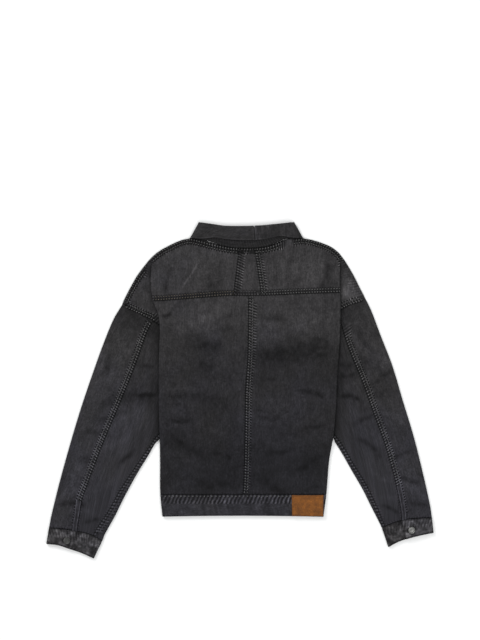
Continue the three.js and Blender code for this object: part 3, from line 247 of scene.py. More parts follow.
CREASES_FROM_ARMHOLE = 0.08
PLACKET_WIDTH = 17
PLACKET_WALL = 1
PLACKET_FROM = {"left": 0.85, "right": 0.81}

CUFF_OPENING = {"left": 0.53, "right": 0.61}  # the upper end's edge, a share of the width
CUFF_LAP = 17  # the lower end runs this far on beneath it
CUFF_UNDER = 4.2
CUFF_OVER = CUFF_UNDER + BAND + REST_GAP
CUFF_EDGE = 5
CUFF_LENGTH = 42
CUFF_WIDTH = 126
CUFF_BUTTON = {"left": 0.39, "right": 0.45}
CUFF_BUTTON_DOWN = 0.6
BUTTON_RADIUS = 8

# The collar is a flattened ring, from the closed front round the sides to the back
LEAF_OFF = COLLAR + 2 * REST_GAP  # from the stand to the leaf outside it
RING_X = 15
RING_HALF_AT_SEAM = 126
RING_HALF_AT_FOLD = 106
RING_BACK_Z = 5.4
RING_RISE = 3.4  # of the back, from the seam to the fold line
RING_FRONT_Z = LEAF_OFF + COLLAR / 2
RING_DROP = 85  # of the front's neck edge below the sides
RING_SIDE_Y = 349.5
RING_SPREAD = 2
RING_BEND = 3
RING_TURN = 0.06  # the share of the ring that turns from front to back
COLLAR_FOLD = table(
    "x y",
    (-93, 387.1),
    (-57, 382),
    (-35, 379),
    (15, 378.6),
    (50, 380),
    (72, 382),
    (120, 387.1),
)
STAND_FRONT = 36
STAND_BELOW_FOLD = 2.5
STAND_FROM = {"middle": 0.015, "sides": 0.17}  # its cut edges, as shares of its height
STAND_TO = {"flat": 0.97, "turned": 0.87}
LEAF_COVER = {"back": 0.62, "side": 0.93, "front": 0.98}  # shares of the stand
LEAF_LIFT = 1.5
LEAF_SIDE = (0.55, 0.95)
LEAF_PER_X = 0.22  # the ring's share to its half width
LEAF_SEAM_GAP = 0.0008
COLLAR_SEAM_X = 33

WAISTBAND_TOP = 5.3
PATCH_FROM = 119
PATCH_TO = 192
PATCH_DROP = 1.5

FRONT_X = 10
FRONT_LAP = 19
FRONT_BUTTON_Y = (-265.5, -195, -90, 15, 120, 225)
FRONT_BUTTON_RADIUS = 8.6
FRONT_BUTTON_EDGE = 2
FRONT_LIFT = 1.2  # of the cloth on a button
WAIST_LIFT = 1.85
FRONT_TUCK = 2  # the lapped edge stops this much short
PLACKET_STEP = 9  # the right front stays this far clear of the placket's lap
FRONT_TOP_Y = 341
NECK_CLEAR = 1.5
SIDE_SEAM_CLEAR = 1

# The largest folds, as in the CAD solids, then the finer creases. angle is counter-clockwise
# from +X, and rise is up from the cloth.
FOLD = "x y angle length width rise"
BACK_FOLDS = table(
    FOLD,
    (-141, 190, 27, 85, 9, -0.8),
    (-78, 162, 19, 140, 15, 1.2),
    (-80, 108, -23, 75, 13, -0.9),
    (117, 85, -2, 200, 17, -0.9),
    (-76, 58, 0, 45, 14, -0.8),
    (-95, -22, -2, 155, 11, -0.9),
    (-115, -143, -27, 130, 11, -0.9),
    (-92, -163, -25, 127, 12, 1),
    (-61, -211, -11, 124, 10, -0.8),
    (69, -217, -21, 98, 10, -0.8),
    (120, -120, 14, 150, 15, 0.9),
)
BACK_CREASES = table(
    FOLD,
    (-168, 174, 20, 26, 4, -0.7),
    (-118, 265, 57, 92, 3, 0.5),
    (-140, 72, -8, 40, 6, 0.5),
    (-126, 2, 8, 60, 7, 0.6),
    (-137, -70, 4, 56, 5, -0.7),
    (-118, -79, 6, 70, 6, 0.5),
    (-150, -108, -34, 52, 5, -0.6),
    (-58, -96, -14, 62, 6, 0.45),
    (-40, -150, -20, 55, 5, -0.5),
    (-66, -196, -12, 90, 6, 0.6),
    (-128, -216, 6, 60, 5, 0.5),
    (-20, 30, 74, 44, 6, -0.35),
    (-33, 140, 12, 50, 7, -0.4),
    (44, 128, -9, 55, 7, 0.4),
    (72, 168, -14, 78, 8, -0.4),
    (154, 150, 9, 66, 7, 0.45),
    (186, 116, -16, 44, 5, -0.5),
    (150, 52, 4, 92, 8, 0.5),
    (60, 24, -6, 52, 6, -0.4),
    (168, -8, -12, 60, 6, -0.6),
    (148, -22, -10, 74, 7, 0.5),
    (70, -62, 8, 58, 6, -0.4),
    (170, -84, 18, 55, 5, -0.6),
    (96, -136, 10, 95, 7, -0.5),
    (160, -168, 24, 66, 6, -0.6),
    (60, -176, -14, 66, 6, 0.5),
    (118, -206, -8, 88, 6, 0.6),
    (160, -226, 4, 50, 4, -0.5),
    (86, 268, 80, 58, 7, -0.35),
    (150, 246, 84, 44, 8, 0.4),
    (118, 292, 68, 40, 6, -0.4),
    (196, 262, 78, 70, 7, -0.5),
    (-64, 238, 30, 50, 6, -0.3),
    (-166, 252, 70, 66, 6, -0.5),
)
CAP_CREASES = table(
    FOLD,
    (-232, 222, 44, 46, 8, 0.8),
    (-216, 194, 20, 40, 6, -0.6),
    (-240, 200, 40, 34, 5, -0.5),
    (249, 236, 100, 48, 11, 1.5),
    (262, 214, 26, 38, 6, -0.6),
    (238, 204, -30, 30, 5, -0.5),
)
SLEEVE_FOLDS = table(
    FOLD,
    (-260, -22, 0, 138, 13, -1),
    (-253, -63, 32, 108, 17, 0.9),
    (-345, -190, -14, 90, 14, 0.8),
    (307, 54, -30, 60, 12, -0.9),
    (328, -5, 18, 50, 11, -0.8),
    (335, -110, -25, 100, 15, 0.9),
)
SLEEVE_CREASES = table(
    FOLD,
    (-214, -12, 8, 40, 4, -1.1),
    (-222, -2, 14, 34, 5, 0.7),
    (-224, 60, -24, 60, 6, -0.5),
    (-262, 96, -40, 70, 7, 0.5),
    (-305, 60, 60, 74, 8, -0.5),
    (-300, -60, 24, 66, 6, -0.5),
    (-330, -96, -18, 60, 6, -0.5),
    (-282, -120, 40, 90, 8, 0.6),
    (-264, -158, 52, 66, 6, -0.6),
    (-352, -160, 10, 58, 7, -0.5),
    (-320, -222, 34, 70, 7, 0.6),
    (-384, -262, 8, 62, 6, -0.7),
    (-360, -280, -12, 74, 6, 0.6),
    (-340, -300, 20, 44, 5, -0.6),
    (-402, -230, 70, 60, 6, 0.4),
    (246, 58, 6, 30, 4, -1),
    (248, 34, -4, 34, 4, -0.9),
    (256, -18, -14, 52, 5, -1.1),
    (254, 12, 10, 36, 5, 0.7),
    (290, 112, -52, 80, 7, -0.5),
    (300, 20, -20, 60, 6, 0.5),
    (330, 30, 30, 50, 6, -0.5),
    (282, -70, 34, 60, 6, -0.5),
    (350, -60, -24, 64, 7, 0.6),
    (300, -132, -42, 74, 6, -0.6),
    (368, -150, 16, 60, 6, -0.5),
    (322, -196, -30, 70, 6, 0.6),
    (390, -206, -10, 56, 6, -0.6),
    (352, -246, 14, 66, 6, 0.6),
    (408, -262, 6, 50, 5, -0.6),
    (344, -274, -24, 54, 5, -0.6),
)
# On the side that lies down, a crease can only stand up off the surface
FRONT_CREASES = table(
    FOLD,
    (-120, -190, 12, 110, 8, 1),
    (-96, -60, -16, 130, 10, 1.2),
    (-110, 84, 10, 96, 8, 0.9),
    (-150, 236, 40, 90, 8, 0.8),
    (118, -170, -14, 120, 9, 1.1),
    (104, -20, 8, 110, 8, 0.9),
    (138, 120, -12, 120, 10, 1.1),
    (186, 250, -44, 86, 8, 0.8),
    (-290, 10, 20, 90, 8, 0.7),
    (-330, -150, -12, 110, 8, 0.8),
    (-360, -260, 16, 80, 7, 0.6),
    (310, 20, -22, 96, 8, 0.7),
    (356, -140, 14, 104, 8, 0.8),
    (372, -250, -10, 80, 7, 0.6),
)

# How light each piece is, in stops from the plain dye, and how it fades down the back
WASH = {
    "collar": -0.38,
    "yoke_left": 0.1,
    "yoke_centre": 0.22,
    "yoke_right": 0.2,
    "waistband": -0.02,
    "sleeve_left": -0.1,
    "sleeve_right": -0.04,
    "cuff_left": 0.32,
    "cuff_right": 0.1,
    "front": 0,
}
# how light the middle of each cap is: uneven washing, and on the right a painted highlight on its
# bulge
CAP_WASH_AND_HIGHLIGHT = {"left": -0.15, "right": 0.5}
FLAP_WASH = {"left": 0.15, "right": 0.6}
LEAF_LINES = {"left": 0.12, "right": 0.5}
LEAF_WEAVE = {"left": "across", "right": "along"}
# painted shade: the stand is darker where it lies under the leaf's edge
STAND_SHADE = -0.6
CUFF_BLUE = -0.9  # the cuffs' dye is a neutral grey
SEAM_DARK = {  # how much dye the seams' laps have kept
    "yoke": {"left": 1.2, "right": 1.2},
    "cap": {"left": 2.2, "right": 1.2},
    "shoulder": {"left": 2.7, "right": 2.2},
}
SLEEVE_SEWN_FROM = {"left": (0.003, 0.012), "right": (0.05, 0.13)}
FOLD_WEAR_AND_SHADE = 0.7  # stops to a millimetre of a fold's depth, and of a fine crease's: painted shade in the troughs, wear on the ridges
CREASE_WEAR_AND_SHADE = 1.5
RIDGE_WEAR = 0.35  # of that, on what stands up
DARKEST = -2.6
STRAIGHT = 2.5  # a line this narrow runs straight
BACK_WASH = table(
    "y tone",
    (-240, -0.95),
    (-200, -1.0),
    (-120, -0.86),
    (-40, -0.6),
    (40, -0.58),
    (110, -0.28),
    (160, 0.0),
    (218, 0.1),
)

# Patches of the back and the sleeves that are lighter or darker: uneven washing, a painted highlight
# and painted shade. Here rise is in stops.
WASH_AND_LIGHT_PATCHES = table(
    FOLD,
    # a painted highlight on the bulge of the right cap
    (250, 234, 65, 56, 9, 0.6),
    # painted shade where the left sleeve meets the body's fold
    (-207, 143, -30, 34, 9, -0.8),
    (-100, 166, 15, 150, 34, 0.2),
    (-82, 104, -5, 90, 20, -0.5),
    (134, 84, 0, 200, 24, -0.5),
    (134, 156, 3, 190, 34, 0.18),
    (-58, 70, 0, 70, 18, 0.2),
    (115, -179, -6, 150, 34, -0.25),
    (-48, -189, -12, 130, 26, -0.3),
    (-163, -160, 60, 80, 20, 0.15),
    (60, -60, 20, 120, 30, 0.15),
    (-120, -60, 0, 90, 24, 0.12),
    (134, 290, -4, 130, 24, 0.22),
    (211, 271, 90, 100, 12, -0.35),
    (60, 306, -5, 90, 12, -0.25),
    (-60, 250, 60, 100, 22, -0.12),
    (-240, 156, -20, 130, 34, -0.35),
    (-297, 79, 70, 130, 20, 0.1),
    (-221, -7, 0, 70, 28, -0.4),
    (-230, -74, 0, 90, 26, 0.2),
    (-345, -120, 70, 150, 24, 0.12),
    (-300, -235, 50, 120, 22, 0.1),
    (-386, -226, 65, 120, 16, 0.34),
    (259, 51, 10, 80, 28, -0.5),
    (307, 84, -35, 100, 18, 0.2),
    (330, 12, -10, 110, 26, -0.45),
    (354, -65, 20, 110, 28, 0.05),
    (300, -60, -40, 100, 22, -0.25),
    (385, -190, -60, 120, 22, 0.2),
    (404, -224, -60, 90, 20, 0.16),
)

# A straight line worn into the left of the yoke. Here rise is in stops.
YOKE_LINE = table(FOLD, (-116, 262, 57, 92, 2, 0.7))

# Soft unevenness of height and of tone: seed, amount, and the lumps' sizes along X and Y
SLACK = {
    "back": ((11, 0.22, 52, 30), (12, 0.1, 17, 12)),
    "sleeve": ((71, 0.2, 40, 30), (72, 0.1, 15, 13)),
    "cuff": ((101, 0.35, 11, 16),),
    "waistband": ((111, 0.3, 24, 60),),
    "patch": ((141, 0.35, 20, 17),),
}
BLOTCHES = {
    "back": ((61, 0.12, 60, 45),),
    "sleeve": ((73, 0.14, 46, 60),),
    "placket": ((92, 0.7, 5, 8),),
    "cuff": ((105, 1.1, 9, 7), (106, 0.9, 4, 5)),
    "waistband": ((115, 0.4, 12, 9),),
    "patch": ((142, 0.12, 15, 11),),
}

# Lines beside an edge or seam: how light in stops, or how high, how far in, and how wide
STRIPES = {
    "placket_groove": ((-0.2, 2.4, 0.9),),
    "cuff_top": ((-1.2, 0, 3),),
    "cuff_end": ((-1.0, 0, 2.5), (0.5, 5, 2)),
    "cuff_hem": ((0.4, 6, 2), (-1.5, 0, 3.4)),
    "gather_groove": ((-0.2, GATHER_ROW, 1.1),),
    "waistband_top": ((-0.8, 0, 2.5),),
    "leaf_edge": ((0.6, 0, 1.8), (-0.3, 4.5, 1.8)),
    "leaf_fold": ((0.3, 2, 3),),
    "leaf_seam": ((0.6, 3, 1.4), (0.25, 0, 1)),
    "leaf_seam_relief": ((-0.15, 0, 1.6), (0.15, 3.5, 1.6)),
    "patch_edge": ((-0.5, 0, 1.2), (-0.3, 2.6, 0.8)),
    "patch_relief": ((-0.5, 0, 0.9), (-0.3, 2.6, 0.8)),
}

# The painted shade of a sleeve: in stops, and how far from the body's fold and the armhole it fades
SLEEVE_SHADE = table(
    "stops from_fold from_armhole", (-0.5, 30, np.inf), (-0.45, np.inf, 26), (-0.9, 14, 60)
)
CONTACT_SHADE = {"stops": -1.2, "reach": 5}  # painted shade right beside the fold

# Seeds of the seams, which the pieces on their two sides share
SEEDS = {
    "yoke": 21,
    "cap": 25,
    "shoulder": 31,
    "wedge": 41,
    "wedge_low": 51,
    "wedge_neck": 52,
    "waist": 62,
    "centre": 63,
    "sleeve_back": 81,
    "sleeve_inner": 83,
    "sleeve_end": 85,
    "cuff": 103,
    "waistband": 113,
    "stand": 121,
}


def lerp(a, b, f):
    return a + (b - a) * f


def smooth(x, low, high):
    f = np.clip((x - low) / (high - low), 0, 1)
    return f * f * (3 - 2 * f)


def bell(x, width):
    return np.exp(-((x / width) ** 2))


def stripes(kind, distance):
    """What the lines of a kind add, at a distance from their edge."""
    return sum(high * bell(distance - at, width) for high, at, width in STRIPES[kind])


def noise(seed, x, y=0.0):
    """Smooth seeded noise from -1 to 1, one lump to a unit of x and y."""
    x, y = np.broadcast_arrays(np.asarray(x, float), np.asarray(y, float))
    count = 97
    values = np.random.default_rng(seed).uniform(-1, 1, (count, count))
    i, j = np.floor(x).astype(int), np.floor(y).astype(int)
    f, g = smooth(x - i, 0, 1), smooth(y - j, 0, 1)
    i, j = i % count, j % count
    right, above = (i + 1) % count, (j + 1) % count
    low = lerp(values[i, j], values[right, j], f)
    high = lerp(values[i, above], values[right, above], f)
    return lerp(low, high, g)


def lumps(rows, x, y):
    """What rows of soft unevenness add at each point."""
    return sum(high * noise(seed, x / wide, y / deep) for seed, high, wide, deep in rows)


def seam_seed(name, side=None):
    return SEEDS[name] + OUT.get(side, 0)


def reader(rows, key, column):
    """A smooth value read from a table's column, carried on straight past its ends."""
    order = np.argsort(rows[key])
    keys, values = rows[key][order], rows[column][order]
    count = len(keys)
    before = np.maximum(np.arange(count) - 1, 0)
    after = np.minimum(np.arange(count) + 1, count - 1)
    slopes = (values[after] - values[before]) / (keys[after] - keys[before])

    def read(at):
        at = np.asarray(at, float)
        i = np.clip(np.searchsorted(keys, at, side="right") - 1, 0, count - 2)
        span = keys[i + 1] - keys[i]
        f = (at - keys[i]) / span
        g = 1 - f
        start = values[i] * (1 + 2 * f) + slopes[i] * span * f
        end = values[i + 1] * (1 + 2 * g) - slopes[i + 1] * span * g
        inside = start * g * g + end * f * f
        low = values[0] + (at - keys[0]) * slopes[0]
        high = values[-1] + (at - keys[-1]) * slopes[-1]
        return np.where(at < keys[0], low, np.where(at > keys[-1], high, inside))

    return read


def plan_curve(rows, side):
    """A curve seen from above, read from a table by its column "at"."""
    x, y = reader(rows, "at", side + "_x"), reader(rows, "at", side + "_y")
    return lambda at: np.stack([x(at), y(at)], axis=-1)


def fold_rise(folds, x, y):
    """What the folds of a table add to the height at each point."""
    rise = np.zeros(np.broadcast(x, y).shape)
    for fold_x, fold_y, angle, length, width, height in zip(*folds.values()):
        turn = np.radians(angle)
        along = (x - fold_x) * np.cos(turn) + (y - fold_y) * np.sin(turn)
        across = (y - fold_y) * np.cos(turn) - (x - fold_x) * np.sin(turn)
        if width > STRAIGHT:
            across = across + 0.06 * length * np.sin(along / (0.23 * length) + fold_x)
        fade = 1 - smooth(np.abs(along), length * 0.25, length * 0.6)
        rise = rise + height * fade * bell(across, width)
    return rise


def points(x, y, z):
    return np.stack(np.broadcast_arrays(x, y, z), axis=-1).astype(float)


def spaced(length, spacing):
    """Values from 0 to 1 that lie about this far apart over a length."""
    return np.linspace(0, 1, max(2, int(round(length / spacing)) + 1))


def runs(grid, axis):
    """How far each point of a grid is along it from its first column or row."""
    lengths = np.cumsum(np.linalg.norm(np.diff(grid, axis=axis), axis=-1), axis=axis)
    return np.concatenate([np.zeros_like(np.take(lengths, [0], axis)), lengths], axis)


def grid_normals(grid, outside):
    across = np.roll(grid, -1, 0) - np.roll(grid, 1, 0)
    across[0], across[-1] = grid[1] - grid[0], grid[-1] - grid[-2]
    along = np.roll(grid, -1, 1) - np.roll(grid, 1, 1)
    along[:, 0], along[:, -1] = grid[:, 1] - grid[:, 0], grid[:, -1] - grid[:, -2]
    out = np.cross(across, along)
    length = np.maximum(np.linalg.norm(out, axis=-1, keepdims=True), 1e-9)
    return outside * out / length


def beside_line(line, sewn, grid, near):
    """For the points of a grid that are near: how far along a line of points the nearest
    place is, and how far away. Only the parts of the line that are sewn count."""
    start, step = line[:-1], np.diff(line, axis=0)
    length = np.maximum(np.linalg.norm(step, axis=1), 1e-9)
    run = np.concatenate([[0], np.cumsum(length)[:-1]])
    used = sewn[:-1] & sewn[1:]
    start, step, length, run = start[used], step[used], length[used], run[used]
    along, away = np.zeros(near.shape), np.full(near.shape, FAR)
    if not used.any():
        return along, away
    places = np.argwhere(near)
    for part in np.array_split(places, max(1, len(places) // CHUNK)):
        point = grid[part[:, 0], part[:, 1]]
        to = point[:, None] - start
        f = np.clip((to * step).sum(-1) / length**2, 0, 1)
        far = np.linalg.norm(to - f[..., None] * step, axis=-1)
        best = far.argmin(1)
        rows = np.arange(len(part))
        away[part[:, 0], part[:, 1]] = far[rows, best]
        along[part[:, 0], part[:, 1]] = run[best] + f[rows, best] * length[best]
    return along, away


def seam_wander(along, seed):
    """A little unevenness in where the stitches and puckers of a seam fall."""
    return 1.1 * noise(seed, along / 37) + 0.4 * noise(seed + 1, along / 11)


def seam_relief(along, across, seed, lapped):
    """The relief of a stitched seam. across is the distance from the seam line, and the
    felled lap with its two rows of stitches is where it is above 0."""
    wave = np.sin(2 * np.pi * (along + 0.5 * across) / PUCKER["pitch"])
    uneven = 0.6 + 0.6 * noise(seed + 2, along / 15, across / 9)
    band = smooth(across, -7, 1) * (1 - smooth(across, LAP_WIDTH - 1, LAP_WIDTH + 6))
    relief = PUCKER["rise"] * wave * uneven * band
    relief = relief - DITCH["depth"] * bell(across, DITCH["width"])
    if not lapped:
        return relief
    lap = smooth(across, -0.4, 0.2) * (1 - smooth(across, LAP_WIDTH, LAP_WIDTH + LAP_SLOPE))
    rows = sum(bell(across - row, GROOVE["width"]) for row in STITCH_ROWS)
    return relief + LAP_RISE * lap - GROOVE["depth"] * rows


def tucked(grid, at_end, share):
    """The grid with one row more, which runs on under the piece that the edge is sewn to.
    share says how far, column by column."""
    grid = grid[:, ::-1] if at_end else grid
    step = grid[:, 0] - grid[:, 1]
    step[:, 2] = 0
    step = step / np.linalg.norm(step, axis=-1, keepdims=True)
    share = np.maximum(np.broadcast_to(share, len(grid)), 0.03)[:, None]
    down = np.array([0, 0, TUCK_DROP])
    edge = grid[:, 0] - share * down
    row = edge + step * TUCK * share
    grid = np.concatenate([row[:, None], edge[:, None], grid[:, 1:]], axis=1)
    return grid[:, ::-1] if at_end else grid


class Cloth:
    """A piece of cloth: a grid of points in its middle, and the relief and tone of its face."""

    def __init__(self, node, grid, thickness, outside=1, shade_and_wash=0.0, weave="along"):
        self.node = node
        self.grid = grid
        self.thickness = thickness
        self.outside = outside
        self.across = runs(grid, 0)
        self.along = runs(grid, 1)
        self.relief = np.zeros(grid.shape[:2])
        self.tone = np.full(grid.shape[:2], float(shade_and_wash))
        self.blue = smooth(-self.y, -190, 250) + 0.35 * noise(161, self.x / 70, self.y / 90)
        self.seam = np.zeros(grid.shape)
        self.seam_away = np.full(grid.shape[:2], FAR)
        self.seams = {}
        self.weave = weave

    @property
    def x(self):
        return self.grid[..., 0]

    @property
    def y(self):
        return self.grid[..., 1]

    def from_start(self, axis):
        return self.across if axis == 0 else self.along

    def from_end(self, axis):
        run = self.from_start(axis)
        return (run[-1:] if axis == 0 else run[:, -1:]) - run

    def shade(self, stops):
        """Makes the cloth lighter, or darker where stops is below 0."""
        self.tone = self.tone + stops

    def lift(self, rise):
        self.relief = self.relief + rise

    def sew(self, axis, at_end, seed, lapped=True, share=1.0, turned=False, tucked=False,
            stitched=1.0, pitch=STITCH["pitch"], dark=1.0, part=""):
        """Adds a seam along the first or last column (axis 0) or row (axis 1), or the one
        next to it where the edge is tucked in. turned is for the side that has no lap,
        stitched is 0 where there are puckers alone, and dark is the dye the lap has kept."""
        share = np.broadcast_to(share, self.grid.shape[:2])
        place = (-1 - tucked) if at_end else int(tucked)
        line = self.grid[place] if axis == 0 else self.grid[:, place]
        sewn = (share[place] if axis == 0 else share[:, place]) > 0.02
        edge = (self.from_end(axis) if at_end else self.from_start(axis)) - TUCK * tucked
        along, away = beside_line(line, sewn, self.grid, (edge < SEAM_REACH) & (share > 0.02))
        across = np.where(edge < -0.1, -away, away)
        across = -across - SEAM_GAP if turned else across
        self.lift(seam_relief(along, across, seed, lapped) * share)
        band = smooth(across, -1.5, 0.5) * (1 - smooth(across, LAP_WIDTH, LAP_WIDTH + 3))
        self.shade(-dark * band * share)
        nearer = away < self.seam_away
        clear = smooth(np.abs(away - self.seam_away), 0, SHARED_BAND)
        clear = np.where(away < FAR, clear, 1)
        place = (along + seam_wander(along, seed)) * STITCH["pitch"] / pitch
        near = 1 - smooth(away, *SEAM_FADE)
        own = points(place, across, (0.5 + 0.5 * stitched) * clear * near * share)
        kept = self.seam * points(1, 1, clear)
        self.seam = np.where(nearer[..., None], own, kept)
        self.seam_away = np.where(nearer, away, self.seam_away)
        self.seams[axis, at_end, part] = place, across, share

    def crease_tone(self, folds, creases):
        """Ridges of the cloth are lighter with wear, its troughs get painted shade, and the washing
        leaves patches, with a painted highlight and painted shade among them.
        """
        uneven = 1 + 0.7 * noise(151, self.x / 9, self.y / 9)
        wander = 5 * noise(152, self.x / 21, self.y / 21)
        x, y = self.x + wander, self.y + 0.4 * wander
        worn_and_shaded = FOLD_WEAR_AND_SHADE * fold_rise(folds, self.x, self.y)
        worn_and_shaded = worn_and_shaded + CREASE_WEAR_AND_SHADE * fold_rise(creases, self.x, self.y)
        # painted shade in the troughs of folds and creases; ridges lighter with wear
        self.shade(uneven * np.where(worn_and_shaded > 0, RIDGE_WEAR * worn_and_shaded, worn_and_shaded))
        # patches of uneven washing, with a painted highlight and painted shade among them
        self.shade(uneven * fold_rise(WASH_AND_LIGHT_PATCHES, x, y))

    def face(self):
        normals = grid_normals(self.grid, self.outside)
        return self.grid + normals * (self.thickness / 2 + self.relief)[..., None]

    def flat_size(self):
        """The width and length of the cut, and its area, in metres."""
        quads = np.cross(
            self.grid[1:, 1:] - self.grid[:-1, :-1], self.grid[1:, :-1] - self.grid[:-1, 1:]
        )
        area = np.linalg.norm(quads, axis=-1).sum() / 2
        rows = self.grid.shape[1]
        middle = slice(rows // 4, max(rows * 3 // 4, rows // 4 + 1))
        width, length = self.across[-1, middle].max(), self.along[:, -1].max()
        return (width * MM, length * MM), min(area, width * length) * MM * MM

    def mesh(self, material):
        normals = grid_normals(self.grid, self.outside)
        outer = self.face()
        inner = self.grid - normals * self.thickness / 2
        columns, rows = self.grid.shape[:2]
        index = np.arange(columns * rows).reshape(columns, rows)
        under = index + columns * rows
        quads = [
            np.stack([index[:-1, :-1], index[1:, :-1], index[1:, 1:], index[:-1, 1:]], -1),
            np.stack([under[:-1, :-1], under[:-1, 1:], under[1:, 1:], under[1:, :-1]], -1),
            np.stack([index[:-1, 0], under[:-1, 0], under[1:, 0], index[1:, 0]], -1),
            np.stack([index[1:, -1], under[1:, -1], under[:-1, -1], index[:-1, -1]], -1),
            np.stack([index[0, 1:], under[0, 1:], under[0, :-1], index[0, :-1]], -1),
            np.stack([index[-1, :-1], under[-1, :-1], under[-1, 1:], index[-1, 1:]], -1),
        ]
        faces = np.concatenate([quad.reshape(-1, 4) for quad in quads])
        if self.outside < 0:
            faces = faces[:, ::-1]
        weave = {
            "along": (self.across, self.along),
            "across": (self.along, self.across),
            "upright": (self.x, self.y),
        }[self.weave]
        cloth = points(*weave, self.blue)
        return new_mesh(
            "denim_" + self.node,
            np.concatenate([outer.reshape(-1, 3), inner.reshape(-1, 3)]),
            faces.tolist(),
            material,
            cloth=np.tile(cloth.reshape(-1, 3), (2, 1)),
            tone=np.tile(np.maximum(self.tone, DARKEST).reshape(-1), 2),
            seam=np.tile(self.seam.reshape(-1, 3), (2, 1)),
        )


def new_mesh(name, vertices, faces, material, cloth=None, tone=None, seam=None):
    """A mesh object from points in millimetres, with what its material reads at each point."""
    mesh = bpy.data.meshes.new(name)
    mesh.from_pydata((np.asarray(vertices) * MM).tolist(), [], faces)
    mesh.polygons.foreach_set("use_smooth", [True] * len(mesh.polygons))
    for key, values in (("cloth", cloth), ("seam", seam)):
        if values is not None:
            layer = mesh.attributes.new(key, "FLOAT_VECTOR", "POINT")
            layer.data.foreach_set("vector", np.asarray(values, np.float32).reshape(-1))
    if tone is not None:
        layer = mesh.attributes.new("tone", "FLOAT", "POINT")
        layer.data.foreach_set("value", np.asarray(tone, np.float32).reshape(-1))
    mesh.materials.append(material)
    mesh.update()
    piece = bpy.data.objects.new(name, mesh)
    bpy.context.scene.collection.objects.link(piece)
    return piece


# The body


FOLD_EDGE = {side: reader(SIDE_FOLDS, "y", side) for side in SIDES}
FOLD_UNDER = {side: reader(SIDE_FOLDS, "y", side + "_under") for side in SIDES}
SHOULDER_Y = {side: reader(SHOULDER, side, "y") for side in SIDES}
SHOULDER_X = {side: reader(SHOULDER, "y", side) for side in SIDES}
neck_y = reader(NECK_SEAM, "x", "y")
yoke_y = reader(YOKE_SEAM, "x", "y")
centre_x = reader(CENTRE_SEAM, "y", "x")
back_wash = reader(BACK_WASH, "y", "tone")


def side_fold(side, y):
    """The side fold's edge, the radius and turn of its bends, how far the cloth runs back in
    and the level of its top."""
    raised = smooth(y, UNDERARM_Y - UNDERARM_RUN, UNDERARM_Y)
    turn = lerp(np.pi, FLAT_TURN, smooth(y, PLEAT_LOW, PLEAT_HIGH))
    top = lerp(SIDE_TOP, FOLD_TOP, raised)
    radius = (top - lerp(FLOOR, FOLD_RETURN, raised)) / 2
    under = FOLD_UNDER[side](y)
    drop = 2 * FOLD_RADIUS * (1 - np.cos(turn)) + under * np.sin(turn)
    top = np.where(y > UNDERARM_Y, SLEEVE_TOP + drop, top)
    return FOLD_EDGE[side](y) - OUT[side] * FLOOR, radius, turn, under, top


def is_neck(x):
    return (x > NECK_POINT["left"]) & (x < NECK_POINT["right"])


def back_top_y(side, x):
    """The upper edge of the back's cloth: the neck seam, then the shoulder line."""
    return np.where(is_neck(x), neck_y(x) - SEAM_GAP, SHOULDER_Y[side](x))


def shoulder_share(side, x, y):
    """How much of its height the cloth keeps near the shoulder line."""
    from_neck = RING_HALF_AT_SEAM, RING_HALF_AT_SEAM + SHOULDER_ROLL["blend"]
    beside = smooth(np.abs(x - RING_X), *from_neck)
    below = (SHOULDER_Y[side](x) - y) * SHOULDER_ROLL["slant"]
    return 1 - beside * (1 - smooth(below, -1, SHOULDER_ROLL["width"]))


def back_top_z(side, x, y):
    """The middle of the back's cloth where it faces up."""
    edge, _, _, _, top = side_fold(side, y)
    inside = np.abs(edge - x)
    mix = 1 - smooth(inside, FOLD_REACH["near"], FOLD_REACH["far"])
    calm = smooth(inside, FOLD_REACH["calm"], FOLD_REACH["near"])
    creases = fold_rise(BACK_FOLDS, x, y) + fold_rise(BACK_CREASES, x, y)
    z = lerp(BACK_MIDDLE, top, mix) + calm * (creases + lumps(SLACK["back"], x, y))
    return lerp(SHOULDER_EDGE, z, shoulder_share(side, x, y))


def back_points(side, inner_x, zone, f, y):
    """Points at the heights y in one column of the back. zone is top, bend, under, rebend
    or cap, from the inner seam out, and f runs from 0 to 1 within it."""
    out = OUT[side]
    edge, radius, turn, under, _ = side_fold(side, y)
    bend_x = edge - out * radius
    if zone == "top":
        x = lerp(inner_x(y), bend_x, f)
        return points(x, y, back_top_z(side, x, y))
    bend = turn * (f if zone == "bend" else 1)
    run = under * {"bend": 0, "under": f, "rebend": 1, "cap": 1}[zone]
    x = bend_x + out * (radius * np.sin(bend) + run * np.cos(turn))
    z = back_top_z(side, bend_x, y) - radius * (1 - np.cos(bend)) - run * np.sin(turn)
    if zone == "rebend":
        left = turn * (1 - f)
        x = x + out * radius * (np.sin(turn) - np.sin(left))
        z = z - radius * (np.cos(left) - np.cos(turn))
    return points(x, y, z)


def column_top_y(side, inner_x, zone, f):
    """Where a column of the back meets its upper edge."""
    y = SHOULDER_Y[side](NECK_POINT[side])
    for _ in range(12):
        x = back_points(side, inner_x, zone, f, y)[..., 0]
        y = lerp(y, back_top_y(side, x), 0.6)
    return float(y)


def zone_columns(zone, count, skip=0):
    return [(zone, f) for f in np.linspace(0, 1, count + 1)[skip:]]


def seam_height(side, zone, f, x):
    """The height of the seam between the yoke and the back, which slants under the fold."""
    return lerp(yoke_y(x), HIDDEN_SEAM_Y[side], f) if zone == "under" else yoke_y(x)


def seam_spread(zone, f):
    return SEAM_GAP / 2 * {"top": 1, "bend": 1 + 2 * f, "under": 3}[zone]


